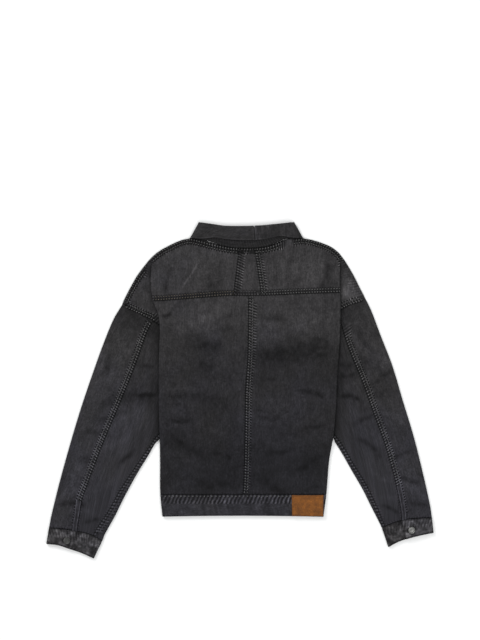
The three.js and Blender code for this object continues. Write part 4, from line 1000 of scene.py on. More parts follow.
def cap_points(side, armhole, inner_x, fold_y, v, f):
    """A column of the yoke's cap, between the armhole seam and the shoulder line."""
    start = back_points(side, inner_x, "rebend", 1, fold_y)
    low = armhole(lerp(CAP_FROM[side], CAP_TO, f))
    end_x = SHOULDER_X[side](armhole(CAP_TO)[1] + CAP_END_RISE)
    high_x = lerp(start[0], end_x, f)
    high_y = SHOULDER_Y[side](high_x)
    first = armhole(CAP_FROM[side])
    y = lerp(low[1] + SEAM_GAP, high_y, v)
    inner = back_points(side, inner_x, "rebend", 1, lerp(first[1] + SEAM_GAP, fold_y, v))
    slack = inner[:, 0] - lerp(first[0], start[0], v)
    x = lerp(low[0], high_x, v) + slack * (1 - f)
    clear = smooth(f, *CAP_BULGE) * (1 - f * f)
    bulge = CAP_CROWN * np.sin(np.pi * v) * clear
    bulge = bulge + fold_rise(CAP_CREASES, x, y) * clear * np.sin(np.pi * v) ** 0.5
    level = lerp(inner[:, 2], SLEEVE_TOP, f) + bulge
    share = lerp(1, shoulder_share(side, x, y), f)
    return points(x, y, lerp(SHOULDER_EDGE, level, share))


def shows(columns):
    """Which columns of the back face up and are in sight: 1, or 0 in the hidden folds."""
    def share(zone, f):
        if zone == "cap":
            return float(smooth(f, 0.1, 0.35))
        return {"top": 1.0, "bend": float(1 - smooth(f, 0.2, 0.5))}.get(zone, 0.0)

    return np.array([share(zone, f) for zone, f in columns])[:, None]


def yoke_grid(side, columns, v):
    """The points of a side of the yoke, from the wedge's seam out to the end of the cap."""
    seam_x = reader(WEDGE, "y", side)
    armhole = plan_curve(ARMHOLE, side)

    def inner_x(y):
        return seam_x(y) + OUT[side] * SEAM_GAP / 2

    fold_y = column_top_y(side, inner_x, "rebend", 1)
    grid = []
    for zone, f in columns:
        if zone == "cap":
            grid.append(cap_points(side, armhole, inner_x, fold_y, v, f))
            continue
        low_x = back_points(side, inner_x, zone, f, YOKE_LOW)[0]
        low = armhole(CAP_FROM[side])[1] + SEAM_GAP
        if zone != "rebend":
            low = seam_height(side, zone, f, low_x) + seam_spread(zone, f)
        high = column_top_y(side, inner_x, zone, f)
        grid.append(back_points(side, inner_x, zone, f, lerp(low, high, v)))
    return np.array(grid)


def cap_tone(side, cloth, cap, v, seen):
    """The yoke cap's washing with a painted highlight on its bulge, and painted shade beside the
    body's fold.
    """
    # partly washing, partly a painted highlight where the cap bulges
    cloth.shade(CAP_WASH_AND_HIGHLIGHT[side] * np.sin(np.pi * v) * cap * seen)
    outside = (cloth.x - FOLD_EDGE[side](cloth.y)) * OUT[side]
    folded = 1 - smooth(cloth.y, PLEAT_LOW, PLEAT_HIGH)
    near_fold = np.exp(-np.clip(outside, 0, None) / 7)
    # painted shade on the cap beside the body's fold
    cloth.shade(-lerp(1.1, 2.0, smooth(cloth.y, 250, 275)) * cap * folded * near_fold)


def yoke_side(side):
    columns = zone_columns("top", 92) + zone_columns("bend", 7, 1) + zone_columns("under", 6, 1)
    columns += zone_columns("rebend", 7, 1) + zone_columns("cap", 44, 1)
    v = spaced(125, FINE_GRID)
    grid = yoke_grid(side, columns, v)
    top, cap = (np.array([zone == name for zone, _ in columns]) for name in ("top", "cap"))
    grid = tucked(grid, True, (top & is_neck(grid[:, -1, 0])).astype(float))
    cap = cap[:, None]
    cloth = Cloth(f"back_yoke_{side}", grid, DENIM, OUT[side], WASH[f"yoke_{side}"], "upright")
    seen = shows(columns)
    cloth.crease_tone(BACK_FOLDS, BACK_CREASES)
    if side == "left":
        cloth.shade(fold_rise(YOKE_LINE, cloth.x, cloth.y))
    cap_tone(side, cloth, cap, np.append(v, 1), seen)
    dark = {name: SEAM_DARK[name][side] for name in SEAM_DARK}
    in_yoke, in_cap = seen * ~cap, seen * cap
    cloth.sew(1, False, seam_seed("yoke", side), share=in_yoke, dark=dark["yoke"], stitched=1.7)
    cloth.sew(1, False, seam_seed("cap", side), share=in_cap, dark=dark["cap"], part="cap")
    flat = np.maximum(seen, smooth(cloth.y, PLEAT_LOW + 6, PLEAT_HIGH))
    if side == "right":
        flat = flat * lerp(0.12, 1, smooth(cloth.y, 275, 300)) * (1 - bell(cloth.x - 112, 14))
    shoulder = seam_seed("shoulder", side)
    cloth.sew(1, True, shoulder, share=flat, tucked=True, dark=dark["shoulder"])
    wedge = seam_seed("wedge", side)
    cloth.sew(0, False, wedge, lapped=False, stitched=0.6, turned=side == "left")
    return cloth


def yoke_centre():
    """The wedge between the yoke's sides."""
    edges = [
        (lambda y, side=side: reader(WEDGE, "y", side)(y) - OUT[side] * SEAM_GAP / 2)
        for side in SIDES
    ]
    low_end, high_end = WEDGE["y"][0], WEDGE["y"][-1]
    v = spaced(110, FINE_GRID)
    grid = []
    for f in spaced(65, 2.0):
        low_x, high_x = (lerp(edges[0](y), edges[1](y), f) for y in (low_end, high_end))
        y = lerp(yoke_y(low_x) + SEAM_GAP / 2, neck_y(high_x) - SEAM_GAP, v)
        x = lerp(edges[0](y), edges[1](y), f)
        z = np.where(x < RING_X, back_top_z("left", x, y), back_top_z("right", x, y))
        grid.append(points(x, y, z))
    grid = tucked(np.array(grid), True, 1.0)
    cloth = Cloth("back_yoke_centre", grid, DENIM, 1, WASH["yoke_centre"], "upright")
    cloth.crease_tone(BACK_FOLDS, BACK_CREASES)
    cloth.sew(1, False, seam_seed("wedge_low"), stitched=1.7)
    cloth.sew(1, True, seam_seed("wedge_neck"), tucked=True, dark=2.0)
    cloth.sew(0, False, seam_seed("wedge", "left"), lapped=False, stitched=0.6)
    cloth.sew(0, True, seam_seed("wedge", "right"), lapped=False, turned=True)
    return cloth


def back_panel(side):
    def inner_x(y):
        return centre_x(y) + OUT[side] * SEAM_GAP / 2

    columns = zone_columns("top", 96) + zone_columns("bend", 8, 1) + zone_columns("under", 8, 1)
    v = spaced(456, 2.2)
    grid = []
    for zone, f in columns:
        x = back_points(side, inner_x, zone, f, YOKE_LOW)[0]
        high = seam_height(side, zone, f, x) - seam_spread(zone, f)
        low = WAIST_SEAM_Y + SEAM_GAP / 2
        grid.append(back_points(side, inner_x, zone, f, lerp(low, high, v)))
    cloth = Cloth(f"back_panel_{side}", np.array(grid), DENIM, OUT[side], weave="upright")
    cloth.shade(back_wash(cloth.y) + lumps(BLOTCHES["back"], cloth.x, cloth.y))
    cloth.crease_tone(BACK_FOLDS, BACK_CREASES)
    seen = 0.7 * shows(columns)
    cloth.sew(1, True, seam_seed("yoke", side), lapped=False, share=seen, turned=True)
    cloth.sew(1, False, seam_seed("waist"), lapped=False, share=seen, turned=True)
    if side == "right":
        stitched = lerp(0.9, 0.35, smooth(cloth.y, 30, 80))
        cloth.sew(0, False, seam_seed("centre"), stitched=stitched, pitch=6.4, dark=0.5)
    else:
        cloth.sew(0, False, seam_seed("centre"), lapped=False, turned=True)
    return cloth


# The sleeves


def edge_normal(curve, at):
    along = curve(np.asarray(at) + 0.01) - curve(np.asarray(at) - 0.01)
    along = along / np.linalg.norm(along, axis=-1, keepdims=True)
    return np.stack([along[..., 1], -along[..., 0]], axis=-1)


class SleevePlan:
    """The plan of a sleeve: s from its outer edge (0) to its inner edge (1), and t from the
    armhole (0) to the cuff (1), drawn in by the reach of its folds."""

    def __init__(self, side):
        self.side = side
        self.armhole = plan_curve(ARMHOLE, side)
        self.cuff = plan_curve(CUFF_TOP, side)
        self.edges = [plan_curve(rows, side) for rows in (SLEEVE_OUTER, SLEEVE_INNER)]
        self.back_seam = reader(SLEEVE_SEAMS, "at", side + "_back")
        self.inner_seam = reader(SLEEVE_SEAMS, "at", side + "_inner")

    def normal(self, edge, t):
        return edge_normal(self.edges[edge], t) * OUT[self.side] * (1 if edge else -1)

    def edge(self, edge, t):
        return self.edges[edge](t) - SLEEVE_INSET * self.normal(edge, t)

    def end(self, curve, t, s):
        """A point of the armhole's or the cuff's line, drawn in."""
        outer, inner = self.normal(0, t), self.normal(1, t)
        s = np.asarray(s, float)[..., None]
        return curve(s[..., 0]) - SLEEVE_INSET * (outer * (1 - s) + inner * s)

    def at(self, s, t):
        s, t = np.broadcast_arrays(np.asarray(s, float), np.asarray(t, float))
        g, h = s[..., None], t[..., None]
        place = self.edge(0, t) * (1 - g) + self.edge(1, t) * g
        place = place + self.end(self.armhole, 0.0, s) * (1 - h)
        place = place + self.end(self.cuff, 1.0, s) * h
        for corner_s in (0.0, 1.0):
            share = g if corner_s else 1 - g
            place = place - self.end(self.armhole, 0.0, corner_s) * share * (1 - h)
            place = place - self.end(self.cuff, 1.0, corner_s) * share * h
        return place

    def outside_body(self, x, y):
        """How far a point of a sleeve is clear of the body's fold."""
        outside = (x - FOLD_EDGE[self.side](y)) * OUT[self.side]
        return outside + np.maximum(0, UNDERARM_Y - y) * BELOW_UNDERARM

    def top_z(self, s, t, x, y):
        clear = smooth(self.outside_body(x, y), *SLEEVE_CLEAR)
        near = smooth(self.outside_body(x, y), *CREASE_CLEAR)
        along = smooth(t, 0, CROWN_FROM_ARMHOLE)
        along = along * (1 - CROWN_AT_CUFF["less"] * smooth(t, CROWN_AT_CUFF["from"], 1))
        across = np.sqrt(np.clip(np.sin(np.pi * np.clip(s, 0, 1)), 0, 1))
        folds = fold_rise(SLEEVE_FOLDS, x, y) * smooth(t, 0, FOLDS_FROM_ARMHOLE)
        creases = fold_rise(SLEEVE_CREASES, x, y) + lumps(SLACK["sleeve"], x, y)
        creases = creases * smooth(t, 0, CREASES_FROM_ARMHOLE)
        large = clear * (SLEEVE_CROWN * along + folds)
        return SLEEVE_TOP + across * (large + near * creases)

    def place(self, zone, f, t):
        """Points of a column. zone is top, outer, floor or inner."""
        f = np.broadcast_to(np.asarray(f, float), t.shape)
        if zone in ("top", "floor"):
            x, y = np.moveaxis(self.at(f, t), -1, 0)
            if zone == "top":
                return points(x, y, self.top_z(f, t, x, y))
            flat = np.sin(np.pi * f) * np.sin(np.pi * t)
            return points(x, y, FLOOR + flat * fold_rise(FRONT_CREASES, x, y))
        edge = 0 if zone == "outer" else 1
        centre = self.at(float(edge), t)
        reach = SLEEVE_RADIUS * np.sin(np.pi * f)
        place = centre + self.normal(edge, t) * reach[..., None]
        return points(place[:, 0], place[:, 1], FLOOR + SLEEVE_RADIUS * (1 + np.cos(np.pi * f)))

    def rows(self, spacing=2.15):
        ends = ARMHOLE_GAP / SLEEVE_LENGTH, 1 - SEAM_GAP / SLEEVE_LENGTH
        return lerp(*ends, spaced(SLEEVE_LENGTH, spacing))

    def tuck_ends(self, grid, t):
        """A sleeve's grid, with its upper side run on under the armhole's lap and the cuff."""
        grid = np.array(grid)
        for at_end in (False, True):
            up = grid[:, -1 if at_end else 0, 2] > SLEEVE_TOP - 0.5
            grid = tucked(grid, at_end, up.astype(float))
        return grid, np.concatenate([t[:1], t, t[-1:]])

    def shade_and_wash(self, cloth):
        """Painted shade on the cloth beside the body's fold and the armhole, and how unevenly the
        sleeve is washed.
        """
        outside = np.clip(self.outside_body(cloth.x, cloth.y), 0, None)
        # painted shade: darker right beside the body's fold, fading out from it and from the armhole
        uneven = CONTACT_SHADE["stops"] * (0.75 + 0.5 * noise(74, cloth.y / 22))
        cloth.shade(uneven * np.exp(-outside / CONTACT_SHADE["reach"]))
        for stops, from_fold, from_armhole in zip(*SLEEVE_SHADE.values()):
            cloth.shade(stops * np.exp(-outside / from_fold - cloth.along / from_armhole))
        cloth.shade(lumps(BLOTCHES["sleeve"], cloth.x, cloth.y))
        cloth.crease_tone(SLEEVE_FOLDS, SLEEVE_CREASES)


def sleeve_outer(plan):
    """The larger piece of a sleeve: from the back seam out, under and up to the inner seam."""
    half = SEAM_GAP / 2 / SLEEVE_WIDTH
    t = plan.rows()
    grid = [plan.place("top", (plan.back_seam(t) - half) * (1 - f), t) for f in spaced(80, GRID)]
    grid += [plan.place("outer", f, t) for f in np.linspace(0, 1, 9)[1:]]
    grid += [plan.place("floor", s, t) for s in spaced(SLEEVE_WIDTH, HIDDEN_GRID)[1:]]
    grid += [plan.place("inner", f, t) for f in np.linspace(1, 0, 9)[1:]]
    grid += [
        plan.place("top", lerp(1, plan.inner_seam(t) + half, f), t)
        for f in np.linspace(0, 1, 6)[1:]
    ]
    side = plan.side
    grid, t = plan.tuck_ends(grid, t)
    cloth = Cloth(f"sleeve_outer_{side}", grid, DENIM, -OUT[side], WASH[f"sleeve_{side}"])
    plan.shade_and_wash(cloth)
    top = (cloth.grid[..., 2] > SLEEVE_TOP - 1).astype(float)
    sewn = smooth(t, *SLEEVE_SEWN_FROM[side])[None, :] * top
    cloth.sew(0, False, seam_seed("sleeve_back", side), share=sewn, dark=0.5)
    cloth.sew(
        0, True, seam_seed("sleeve_inner", side), lapped=False, share=top,
        stitched=1.3, pitch=7.5, dark=0.3,
    )
    for at_end in (False, True):
        cloth.sew(
            1, at_end, seam_seed("sleeve_end"), lapped=False, share=top, turned=True, tucked=True
        )
    return cloth


def sleeve_inner(plan):
    """The smaller piece of a sleeve, between its two seams."""
    half = SEAM_GAP / 2 / SLEEVE_WIDTH
    t = plan.rows()
    low, high = plan.back_seam(t) + half, plan.inner_seam(t) - half
    grid = [plan.place("top", lerp(low, high, f), t) for f in spaced(130, 2.2)]
    side = plan.side
    grid, t = plan.tuck_ends(grid, t)
    cloth = Cloth(f"sleeve_inner_{side}", grid, DENIM, OUT[side], WASH[f"sleeve_{side}"])
    plan.shade_and_wash(cloth)
    cloth.sew(0, False, seam_seed("sleeve_back", side), lapped=False, turned=True)
    cloth.sew(0, True, seam_seed("sleeve_inner", side), lapped=False, turned=True)
    for at_end in (False, True):
        cloth.sew(1, at_end, seam_seed("sleeve_end"), lapped=False, turned=True, tucked=True)
    return cloth


def sleeve_placket(plan):
    """The strip at the sleeve's opening, laid on the sleeve beside the back seam."""
    side = plan.side
    wide = PLACKET_WIDTH / SLEEVE_WIDTH
    up = FLOOR + LAP_RISE + REST_GAP + PLACKET_WALL / 2
    t = lerp(PLACKET_FROM[side], 1 - SEAM_GAP / SLEEVE_LENGTH, spaced(85, 2.0))
    grid = []
    for f in spaced(PLACKET_WIDTH, 1.5):
        grid.append(plan.place("top", plan.back_seam(t) - wide * (1 - f), t))
    grid = np.array(grid) + np.array([0, 0, up])
    cloth = Cloth(
        f"sleeve_placket_{side}", grid, PLACKET_WALL, OUT[side], WASH[f"sleeve_{side}"]
    )
    edge = np.minimum(cloth.from_start(0), cloth.from_end(0))
    cloth.shade((0.8 + 0.5 * noise(93, cloth.along / 5)) * bell(edge - 1.2, 1.3))
    cloth.shade((lumps(BLOTCHES["placket"], cloth.x, cloth.y) - 0.4) * smooth(edge, 2, 5))
    cloth.lift(stripes("placket_groove", edge))
    return cloth


# The cuffs, the waistband and the patch


def cuff_top_z(side, s):
    opening = CUFF_OPENING[side]
    over = lerp(CUFF_EDGE, CUFF_OVER, smooth(s, 0, opening * 0.5))
    return np.where(s > opening, CUFF_UNDER, over)


def cuff_bend(edge, top, inward):
    """The turn of a cuff at its outer or inner end, as places across it and heights."""
    radius = (top - BAND / 2) / 2
    turn = np.linspace(0, np.pi, 10)
    centre = edge + inward * (radius + BAND / 2) / CUFF_WIDTH
    s = centre - inward * radius * np.sin(turn) / CUFF_WIDTH
    return s, BAND / 2 + radius * (1 + np.cos(turn))


def strip(low, high, spacing, width):
    return np.linspace(low, high, max(2, int(abs(high - low) * width / spacing)))


def button_place(side):
    """Where a cuff's button is, seen from above."""
    top_line, end_line = plan_curve(CUFF_TOP, side), plan_curve(CUFF_END, side)
    s = CUFF_BUTTON[side]
    return lerp(top_line(s), end_line(s), CUFF_BUTTON_DOWN)


def cuff_outline(side):
    """The shares of the cuff's width and the heights of its columns, from its buttoned upper
    end round under the sleeve and on beneath it. Also how many are in that upper end."""
    opening = CUFF_OPENING[side]
    outer_s, outer_z = cuff_bend(0, CUFF_EDGE, 1)
    inner_s, inner_z = (part[::-1] for part in cuff_bend(1, CUFF_UNDER, -1))
    flap = strip(opening, outer_s[0], 2.0, CUFF_WIDTH)[:-1]
    floor = strip(outer_s[-1], inner_s[0], HIDDEN_GRID, CUFF_WIDTH)[1:-1]
    under = strip(inner_s[-1], opening - CUFF_LAP / CUFF_WIDTH, 2.0, CUFF_WIDTH)[1:]
    flap_z, floor_z = cuff_top_z(side, flap), np.full(len(floor), BAND / 2)
    z = np.concatenate([flap_z, outer_z, floor_z, inner_z, np.full(len(under), CUFF_UNDER)])
    return np.concatenate([flap, outer_s, floor, inner_s, under]), z, len(flap)


def cuff_wash(side, cloth, top, flap):
    """Blotches, worn and dark edges, the shade round the button and the lighter flap."""
    cloth.blue = cloth.blue + CUFF_BLUE
    cloth.shade(top * (lumps(BLOTCHES["cuff"], cloth.x, cloth.y) + stripes("cuff_top", cloth.along)))
    button = button_place(side)
    away = np.hypot(cloth.x - button[0], cloth.y - button[1]) - BUTTON_RADIUS
    turn = np.arctan2(cloth.y - button[1], cloth.x - button[0])
    cloth.shade(-(1.2 + 0.9 * np.cos(2 * turn)) * np.exp(-np.abs(away) / 2.6) * top)
    cloth.shade(FLAP_WASH[side] * flap + stripes("cuff_end", cloth.across))
    cloth.shade(top * stripes("cuff_hem", cloth.from_end(1)))


def cuff(side):
    top_line, end_line = plan_curve(CUFF_TOP, side), plan_curve(CUFF_END, side)
    s, z, in_flap = cuff_outline(side)
    w = lerp(SEAM_GAP / CUFF_LENGTH, 1, spaced(CUFF_LENGTH, 1.8))
    place = lerp(top_line(s)[:, None], end_line(s)[:, None], w[None, :, None])
    x, y = place[..., 0], place[..., 1]
    top = (z > BAND)[:, None].astype(float)
    grid = points(x, y, z[:, None] + top * lumps(SLACK["cuff"], x, y))
    cloth = Cloth(f"cuff_{side}", grid, BAND, -OUT[side], WASH[f"cuff_{side}"], "across")
    gather(cloth, False, seam_seed("cuff"), 0.4 * top, 7.0)
    cuff_wash(side, cloth, top, (np.arange(len(s)) < in_flap)[:, None])
    return cloth


def gather(cloth, at_end, seed, share, pitch=9.0):
    """Bar-like puckers in from the first or the last row, which is stitched."""
    cloth.sew(1, at_end, seed, lapped=False, share=share, stitched=0, pitch=pitch, dark=0.3)
    distance = cloth.from_end(1) if at_end else cloth.from_start(1)
    wave = np.sin(2 * np.pi * (cloth.across + seam_wander(cloth.across, seed)) / pitch)
    reach = 1 - smooth(distance, 6, 16)
    cloth.lift(share * (0.35 * wave * reach + stripes("gather_groove", distance)))
    cloth.shade(0.45 * share * noise(seed + 5, cloth.across / 3.4, cloth.along / 45))


def waistband_section():
    """The waistband's columns, each a way to get x from y, and a height. It starts at the
    closed front, runs round the left side, the back and the right, and laps over its start."""
    low = BAND / 2
    radius = (WAISTBAND_TOP - low) / 2

    def edge(side):
        return lambda y: FOLD_EDGE[side](y) - OUT[side] * (radius + low)

    def bend(side):
        turned = [np.pi * f for f in np.linspace(0, 1, 9)]
        return [
            (
                lambda y, a=a: edge(side)(y) + OUT[side] * radius * np.sin(a),
                WAISTBAND_TOP - radius * (1 - np.cos(a)),
            )
            for a in turned
        ]

    def flat(start, end, z, length, spacing):
        shares = spaced(length, spacing)[1:-1]
        return [(lambda y, f=f: lerp(start(y), end(y), f), z) for f in shares]

    def fixed(x):
        return lambda y: np.full(np.shape(y), float(x))

    lap = FRONT_X + FRONT_LAP
    first, last = fixed(lap), fixed(lap + 10)
    over_first, over_last = fixed(lap + 0.5), fixed(FRONT_X - FRONT_LAP + FRONT_TUCK)
    over = low + BAND + REST_GAP
    return [
        (first, low),
        *flat(first, edge("left"), low, 200, HIDDEN_GRID),
        *bend("left")[::-1],
        *flat(edge("left"), edge("right"), WAISTBAND_TOP, 370, GRID),
        *bend("right"),
        *flat(edge("right"), last, low, 160, HIDDEN_GRID),
        (last, low),
        (over_first, over),
        *flat(over_first, over_last, over, 2 * FRONT_LAP - FRONT_TUCK, 2),
        (over_last, over),
    ]


def button_rise(x, y):
    """How far the front's cloth is lifted where it lies on a button."""
    rise = np.zeros(np.broadcast(x, y).shape)
    edge = FRONT_BUTTON_RADIUS, FRONT_BUTTON_RADIUS + FRONT_BUTTON_EDGE
    for button_y in FRONT_BUTTON_Y:
        rise = np.maximum(rise, 1 - smooth(np.hypot(x - FRONT_X, y - button_y), *edge))
    return rise


def waistband():
    f = spaced(50, FINE_GRID)
    grid = []
    for x_at, z in waistband_section():
        bow = HEM_BOW * max(0, 1 - (float(x_at(HEM_Y)) / HEM_HALF) ** 2)
        y = lerp(HEM_Y + bow, WAIST_SEAM_Y - SEAM_GAP / 2, f)
        x = x_at(y)
        lift = WAIST_LIFT * button_rise(x, y) if z < WAISTBAND_TOP / 2 + 1 else 0
        slack = lumps(SLACK["waistband"], x, y) if z > WAISTBAND_TOP - 0.01 else 0
        grid.append(points(x, y, z + lift + slack))
    cloth = Cloth("waistband", np.array(grid), BAND, 1, WASH["waistband"], "across")
    top = (cloth.grid[..., 2] > WAISTBAND_TOP - 1.5).astype(float)
    gather(cloth, True, seam_seed("waistband"), top)
    blotches = lumps(BLOTCHES["waistband"], cloth.x, cloth.y)
    cloth.shade(top * (stripes("waistband_top", cloth.along) + blotches))
    return cloth


# The collar


fold_line_y = reader(COLLAR_FOLD, "x", "y")


def ring_at(p):
    """Where the collar's path is: how far across, how far turned to the back, and its side.
    p runs from the closed front round the left side, along the back and round the right."""
    q = np.where(p > 0.5, 1 - p, p)
    side = np.where(p > 0.5, 1, -1)
    front, back = 0.25 - RING_TURN / 2, 0.25 + RING_TURN / 2
    bend = RING_BEND / RING_HALF_AT_SEAM
    turn = np.pi * np.clip((q - front) / RING_TURN, 0, 1)
    share = np.clip(np.where(q < front, q / front, 1 - (q - back) / (0.5 - back)), 0, 1)
    reach = np.where((q >= front) & (q <= back), 1, share)
    return side * ((1 - bend) * reach + bend * np.sin(turn)), turn, side


def stand_point(p, w, out):
    """A point of the collar's stand: w runs from the neck seam (0) to the fold line (1), and
    out moves it away from the neck."""
    across, turn, side = ring_at(p)
    to_back = (1 - np.cos(turn)) / 2
    seam_x = RING_X + across * RING_HALF_AT_SEAM
    fold_x = RING_X + across * RING_HALF_AT_FOLD
    dip = np.sqrt(np.maximum(0, 1 - across**2))
    front_seam_y = RING_SIDE_Y - RING_DROP * dip
    seam_y = lerp(front_seam_y, neck_y(seam_x), to_back)
    back_fold_y = fold_line_y(fold_x) - STAND_BELOW_FOLD
    fold_y = lerp(front_seam_y + STAND_FRONT, back_fold_y, to_back)
    z = lerp(RING_FRONT_Z, RING_BACK_Z + RING_RISE * w, to_back)
    x = lerp(seam_x, fold_x, w) + side * np.sin(turn) * out * RING_SPREAD
    return points(x, lerp(seam_y, fold_y, w), z - np.cos(turn) * out)


def collar_stand():
    p = np.linspace(0.001, 0.999, 330)
    across, turn, _ = ring_at(p)
    start = lerp(STAND_FROM["middle"], STAND_FROM["sides"], across**2)
    end = lerp(STAND_TO["flat"], STAND_TO["turned"], np.sin(turn))
    grid = [stand_point(p, lerp(start, end, f), 0) for f in spaced(36, 2.4)]
    grid = np.moveaxis(np.array(grid), 0, 1)
    # the stand starts darker: painted shade under the leaf's edge
    cloth = Cloth("collar_stand", grid, COLLAR, 1, WASH["collar"] + STAND_SHADE, "across")
    cloth.sew(1, False, seam_seed("stand"), lapped=False, share=0.15, dark=2.2)
    cloth.shade(0.5 * noise(123, cloth.across / 60, cloth.along / 2.5))
    return cloth


def leaf_grid(side):
    """The points of half of the leaf, which turns over the stand's edge and comes down
    outside it, from the closed front to the leaf's seam."""
    seam_at = 0.5 + (COLLAR_SEAM_X - RING_X) / RING_HALF_AT_FOLD * LEAF_PER_X
    ends = (0.001, seam_at - LEAF_SEAM_GAP) if side == "left" else (seam_at + LEAF_SEAM_GAP, 0.999)
    p = np.linspace(*ends, 240)
    across, turn, _ = ring_at(p)
    to_back = (1 - np.cos(turn)) / 2
    at_side = smooth(np.abs(across), *LEAF_SIDE)
    free = to_back * (1 - at_side)
    cover = lerp(LEAF_COVER["back"], LEAF_COVER["side"], at_side)
    cover = lerp(LEAF_COVER["front"], cover, to_back)
    radius = LEAF_OFF / 2
    fold = stand_point(p, 1.0, radius)
    rows = []
    for turned in np.linspace(0, np.pi, 9):
        row = stand_point(p, 1.0, radius - radius * np.cos(turned))
        row[:, 1] = fold[:, 1] + radius * np.sin(turned) + 0.4
        rows.append(row)
    for f in spaced(40, 1.8)[1:]:
        row = stand_point(p, 1 - cover * f, LEAF_OFF + LEAF_LIFT * f * f * free)
        row[:, 2] += 0.5 * noise(131, row[:, 0] / 38, 9 * f) * f * free
        rows.append(row)
    return np.moveaxis(np.array(rows), 0, 1)


def collar_leaf(side):
    node = f"collar_leaf_{side}"
    cloth = Cloth(node, leaf_grid(side), COLLAR, -1, WASH["collar"], LEAF_WEAVE[side])
    from_edge = cloth.from_end(1)
    puckers = np.sin(2 * np.pi * (cloth.across + 0.3 * from_edge) / 7.5)
    cloth.lift(0.1 * puckers * bell(from_edge - 3, 4))
    cloth.shade(stripes("leaf_edge", from_edge) + stripes("leaf_fold", cloth.along))
    cloth.shade(0.12 * noise(133, cloth.across / 21, cloth.along / 12))
    seam = cloth.from_end(0) if side == "left" else cloth.from_start(0)
    cloth.lift(stripes("leaf_seam_relief", seam))
    cloth.shade(stripes("leaf_seam", seam))
    cloth.shade(LEAF_LINES[side] * noise(134, cloth.across / 4, cloth.along / 40))
    return cloth


# The fronts, which lie face down under the back


def front_side_x(side, y):
    fold_edge, radius, _, under, _ = side_fold(side, y)
    seam = fold_edge - OUT[side] * (under + radius + SIDE_SEAM_CLEAR)
    underarm = plan_curve(ARMHOLE, side)(1.0)[0] - OUT[side] * ARMHOLE_GAP
    return lerp(seam, underarm, smooth(y, -122, -106))


def front_outline(side):
    """The heights of a front's rows, and where they meet the side seam, armhole or shoulder."""
    armhole = plan_curve(ARMHOLE, side)(np.linspace(1, 0, 60))
    below = np.linspace(WAIST_SEAM_Y + SEAM_GAP / 2, UNDERARM_Y, 30)
    along = np.linspace(UNDERARM_Y, armhole[-1, 1], 62)[1:]
    above = np.linspace(armhole[-1, 1] + 1, FRONT_TOP_Y, 44)
    at_armhole = np.interp(along, armhole[:, 1], armhole[:, 0]) - OUT[side] * ARMHOLE_GAP
    outer = [front_side_x(side, below), at_armhole, SHOULDER_X[side](above)]
    return np.concatenate([below, along, above]), np.concatenate(outer)


def front_panel(side):
    out = OUT[side]
    y, outer = front_outline(side)
    depth = np.clip((RING_SIDE_Y - NECK_CLEAR - y) / RING_DROP, 0, 1)
    neck = RING_X + out * (RING_HALF_AT_SEAM * np.sqrt(1 - depth**2) + 3 * NECK_CLEAR)
    flat_edge = FRONT_X + out * (FRONT_LAP + SEAM_GAP)
    edge = flat_edge + (PLACKET_STEP if side == "right" else 0)
    inner = np.where(depth < 1, out * np.maximum(out * edge, out * neck), edge)
    grid = []
    if side == "right":
        covered = inner > edge
        for f in np.linspace(0, 1, 18):
            x = lerp(FRONT_X - FRONT_LAP + FRONT_TUCK, flat_edge, f)
            lift = DENIM + REST_GAP + FRONT_LIFT * button_rise(x, y)
            x = np.where(covered, inner - 2 + f, x)
            grid.append(points(x, y, FLOOR + np.where(covered, 0, lift)))
    for f in spaced(185, 4.5):
        x = lerp(inner, outer, f)
        rise = np.sin(np.pi * f) * fold_rise(FRONT_CREASES, x, y)
        grid.append(points(x, y, FLOOR + np.clip(rise, 0, 2)))
    return Cloth(f"front_{side}", np.array(grid), DENIM, -out, WASH["front"])


def front_placket():
    low = WAIST_SEAM_Y + SEAM_GAP / 2
    high = RING_SIDE_Y - RING_DROP - 2 * NECK_CLEAR
    y = lerp(low, high, spaced(high - low, 2.2))
    x = FRONT_X + np.linspace(-FRONT_LAP, FRONT_LAP, 22)
    x, y = np.meshgrid(x, y, indexing="ij")
    grid = points(x, y, FLOOR + FRONT_LIFT * button_rise(x, y))
    return Cloth("front_placket", grid, DENIM, -1, WASH["front"])


# Leather, buttons and thread


def waist_patch():
    """The plain leather patch: soft edges, a border pressed in, and a slight bow."""
    across, along = np.meshgrid(np.linspace(0, 1, 76), np.linspace(0, 1, 50), indexing="ij")
    low, high = HEM_Y + PATCH_DROP, WAIST_SEAM_Y - PATCH_DROP / 2
    x = lerp(PATCH_FROM, PATCH_TO, across) + 1.28 * (1 - along) * (0.5 - across)
    y = lerp(low, high, along) + 0.8 * np.sin(np.pi * across) * (0.4 - along)
    from_side = np.minimum(across, 1 - across) * (PATCH_TO - PATCH_FROM)
    edge = np.minimum(from_side, np.minimum(along, 1 - along) * (high - low))
    z = WAISTBAND_TOP + BAND / 2 + REST_GAP + LEATHER / 2
    leather = Cloth("waist_patch", points(x, y, z + lumps(SLACK["patch"], x, y)), LEATHER)
    leather.lift(stripes("patch_relief", edge))
    leather.shade(stripes("patch_edge", edge) + lumps(BLOTCHES["patch"], x, y))
    return leather


def turned_ring(profile, sides):
    """The points and faces of a profile of (radius, height) pairs turned about its axis."""
    turn = np.linspace(0, 2 * np.pi, sides, endpoint=False)
    vertices, faces = [], []
    for radius, height in profile:
        radius = max(radius, 0.02)
        vertices += [(radius * np.cos(a), radius * np.sin(a), height) for a in turn]
    for ring in range(len(profile) - 1):
        for k in range(sides):
            a, b = ring * sides + k, ring * sides + (k + 1) % sides
            faces.append((a, b, b + sides, a + sides))
    faces.append(tuple(range(sides))[::-1])
    faces.append(tuple(range((len(profile) - 1) * sides, len(profile) * sides)))
    return np.array(vertices), faces


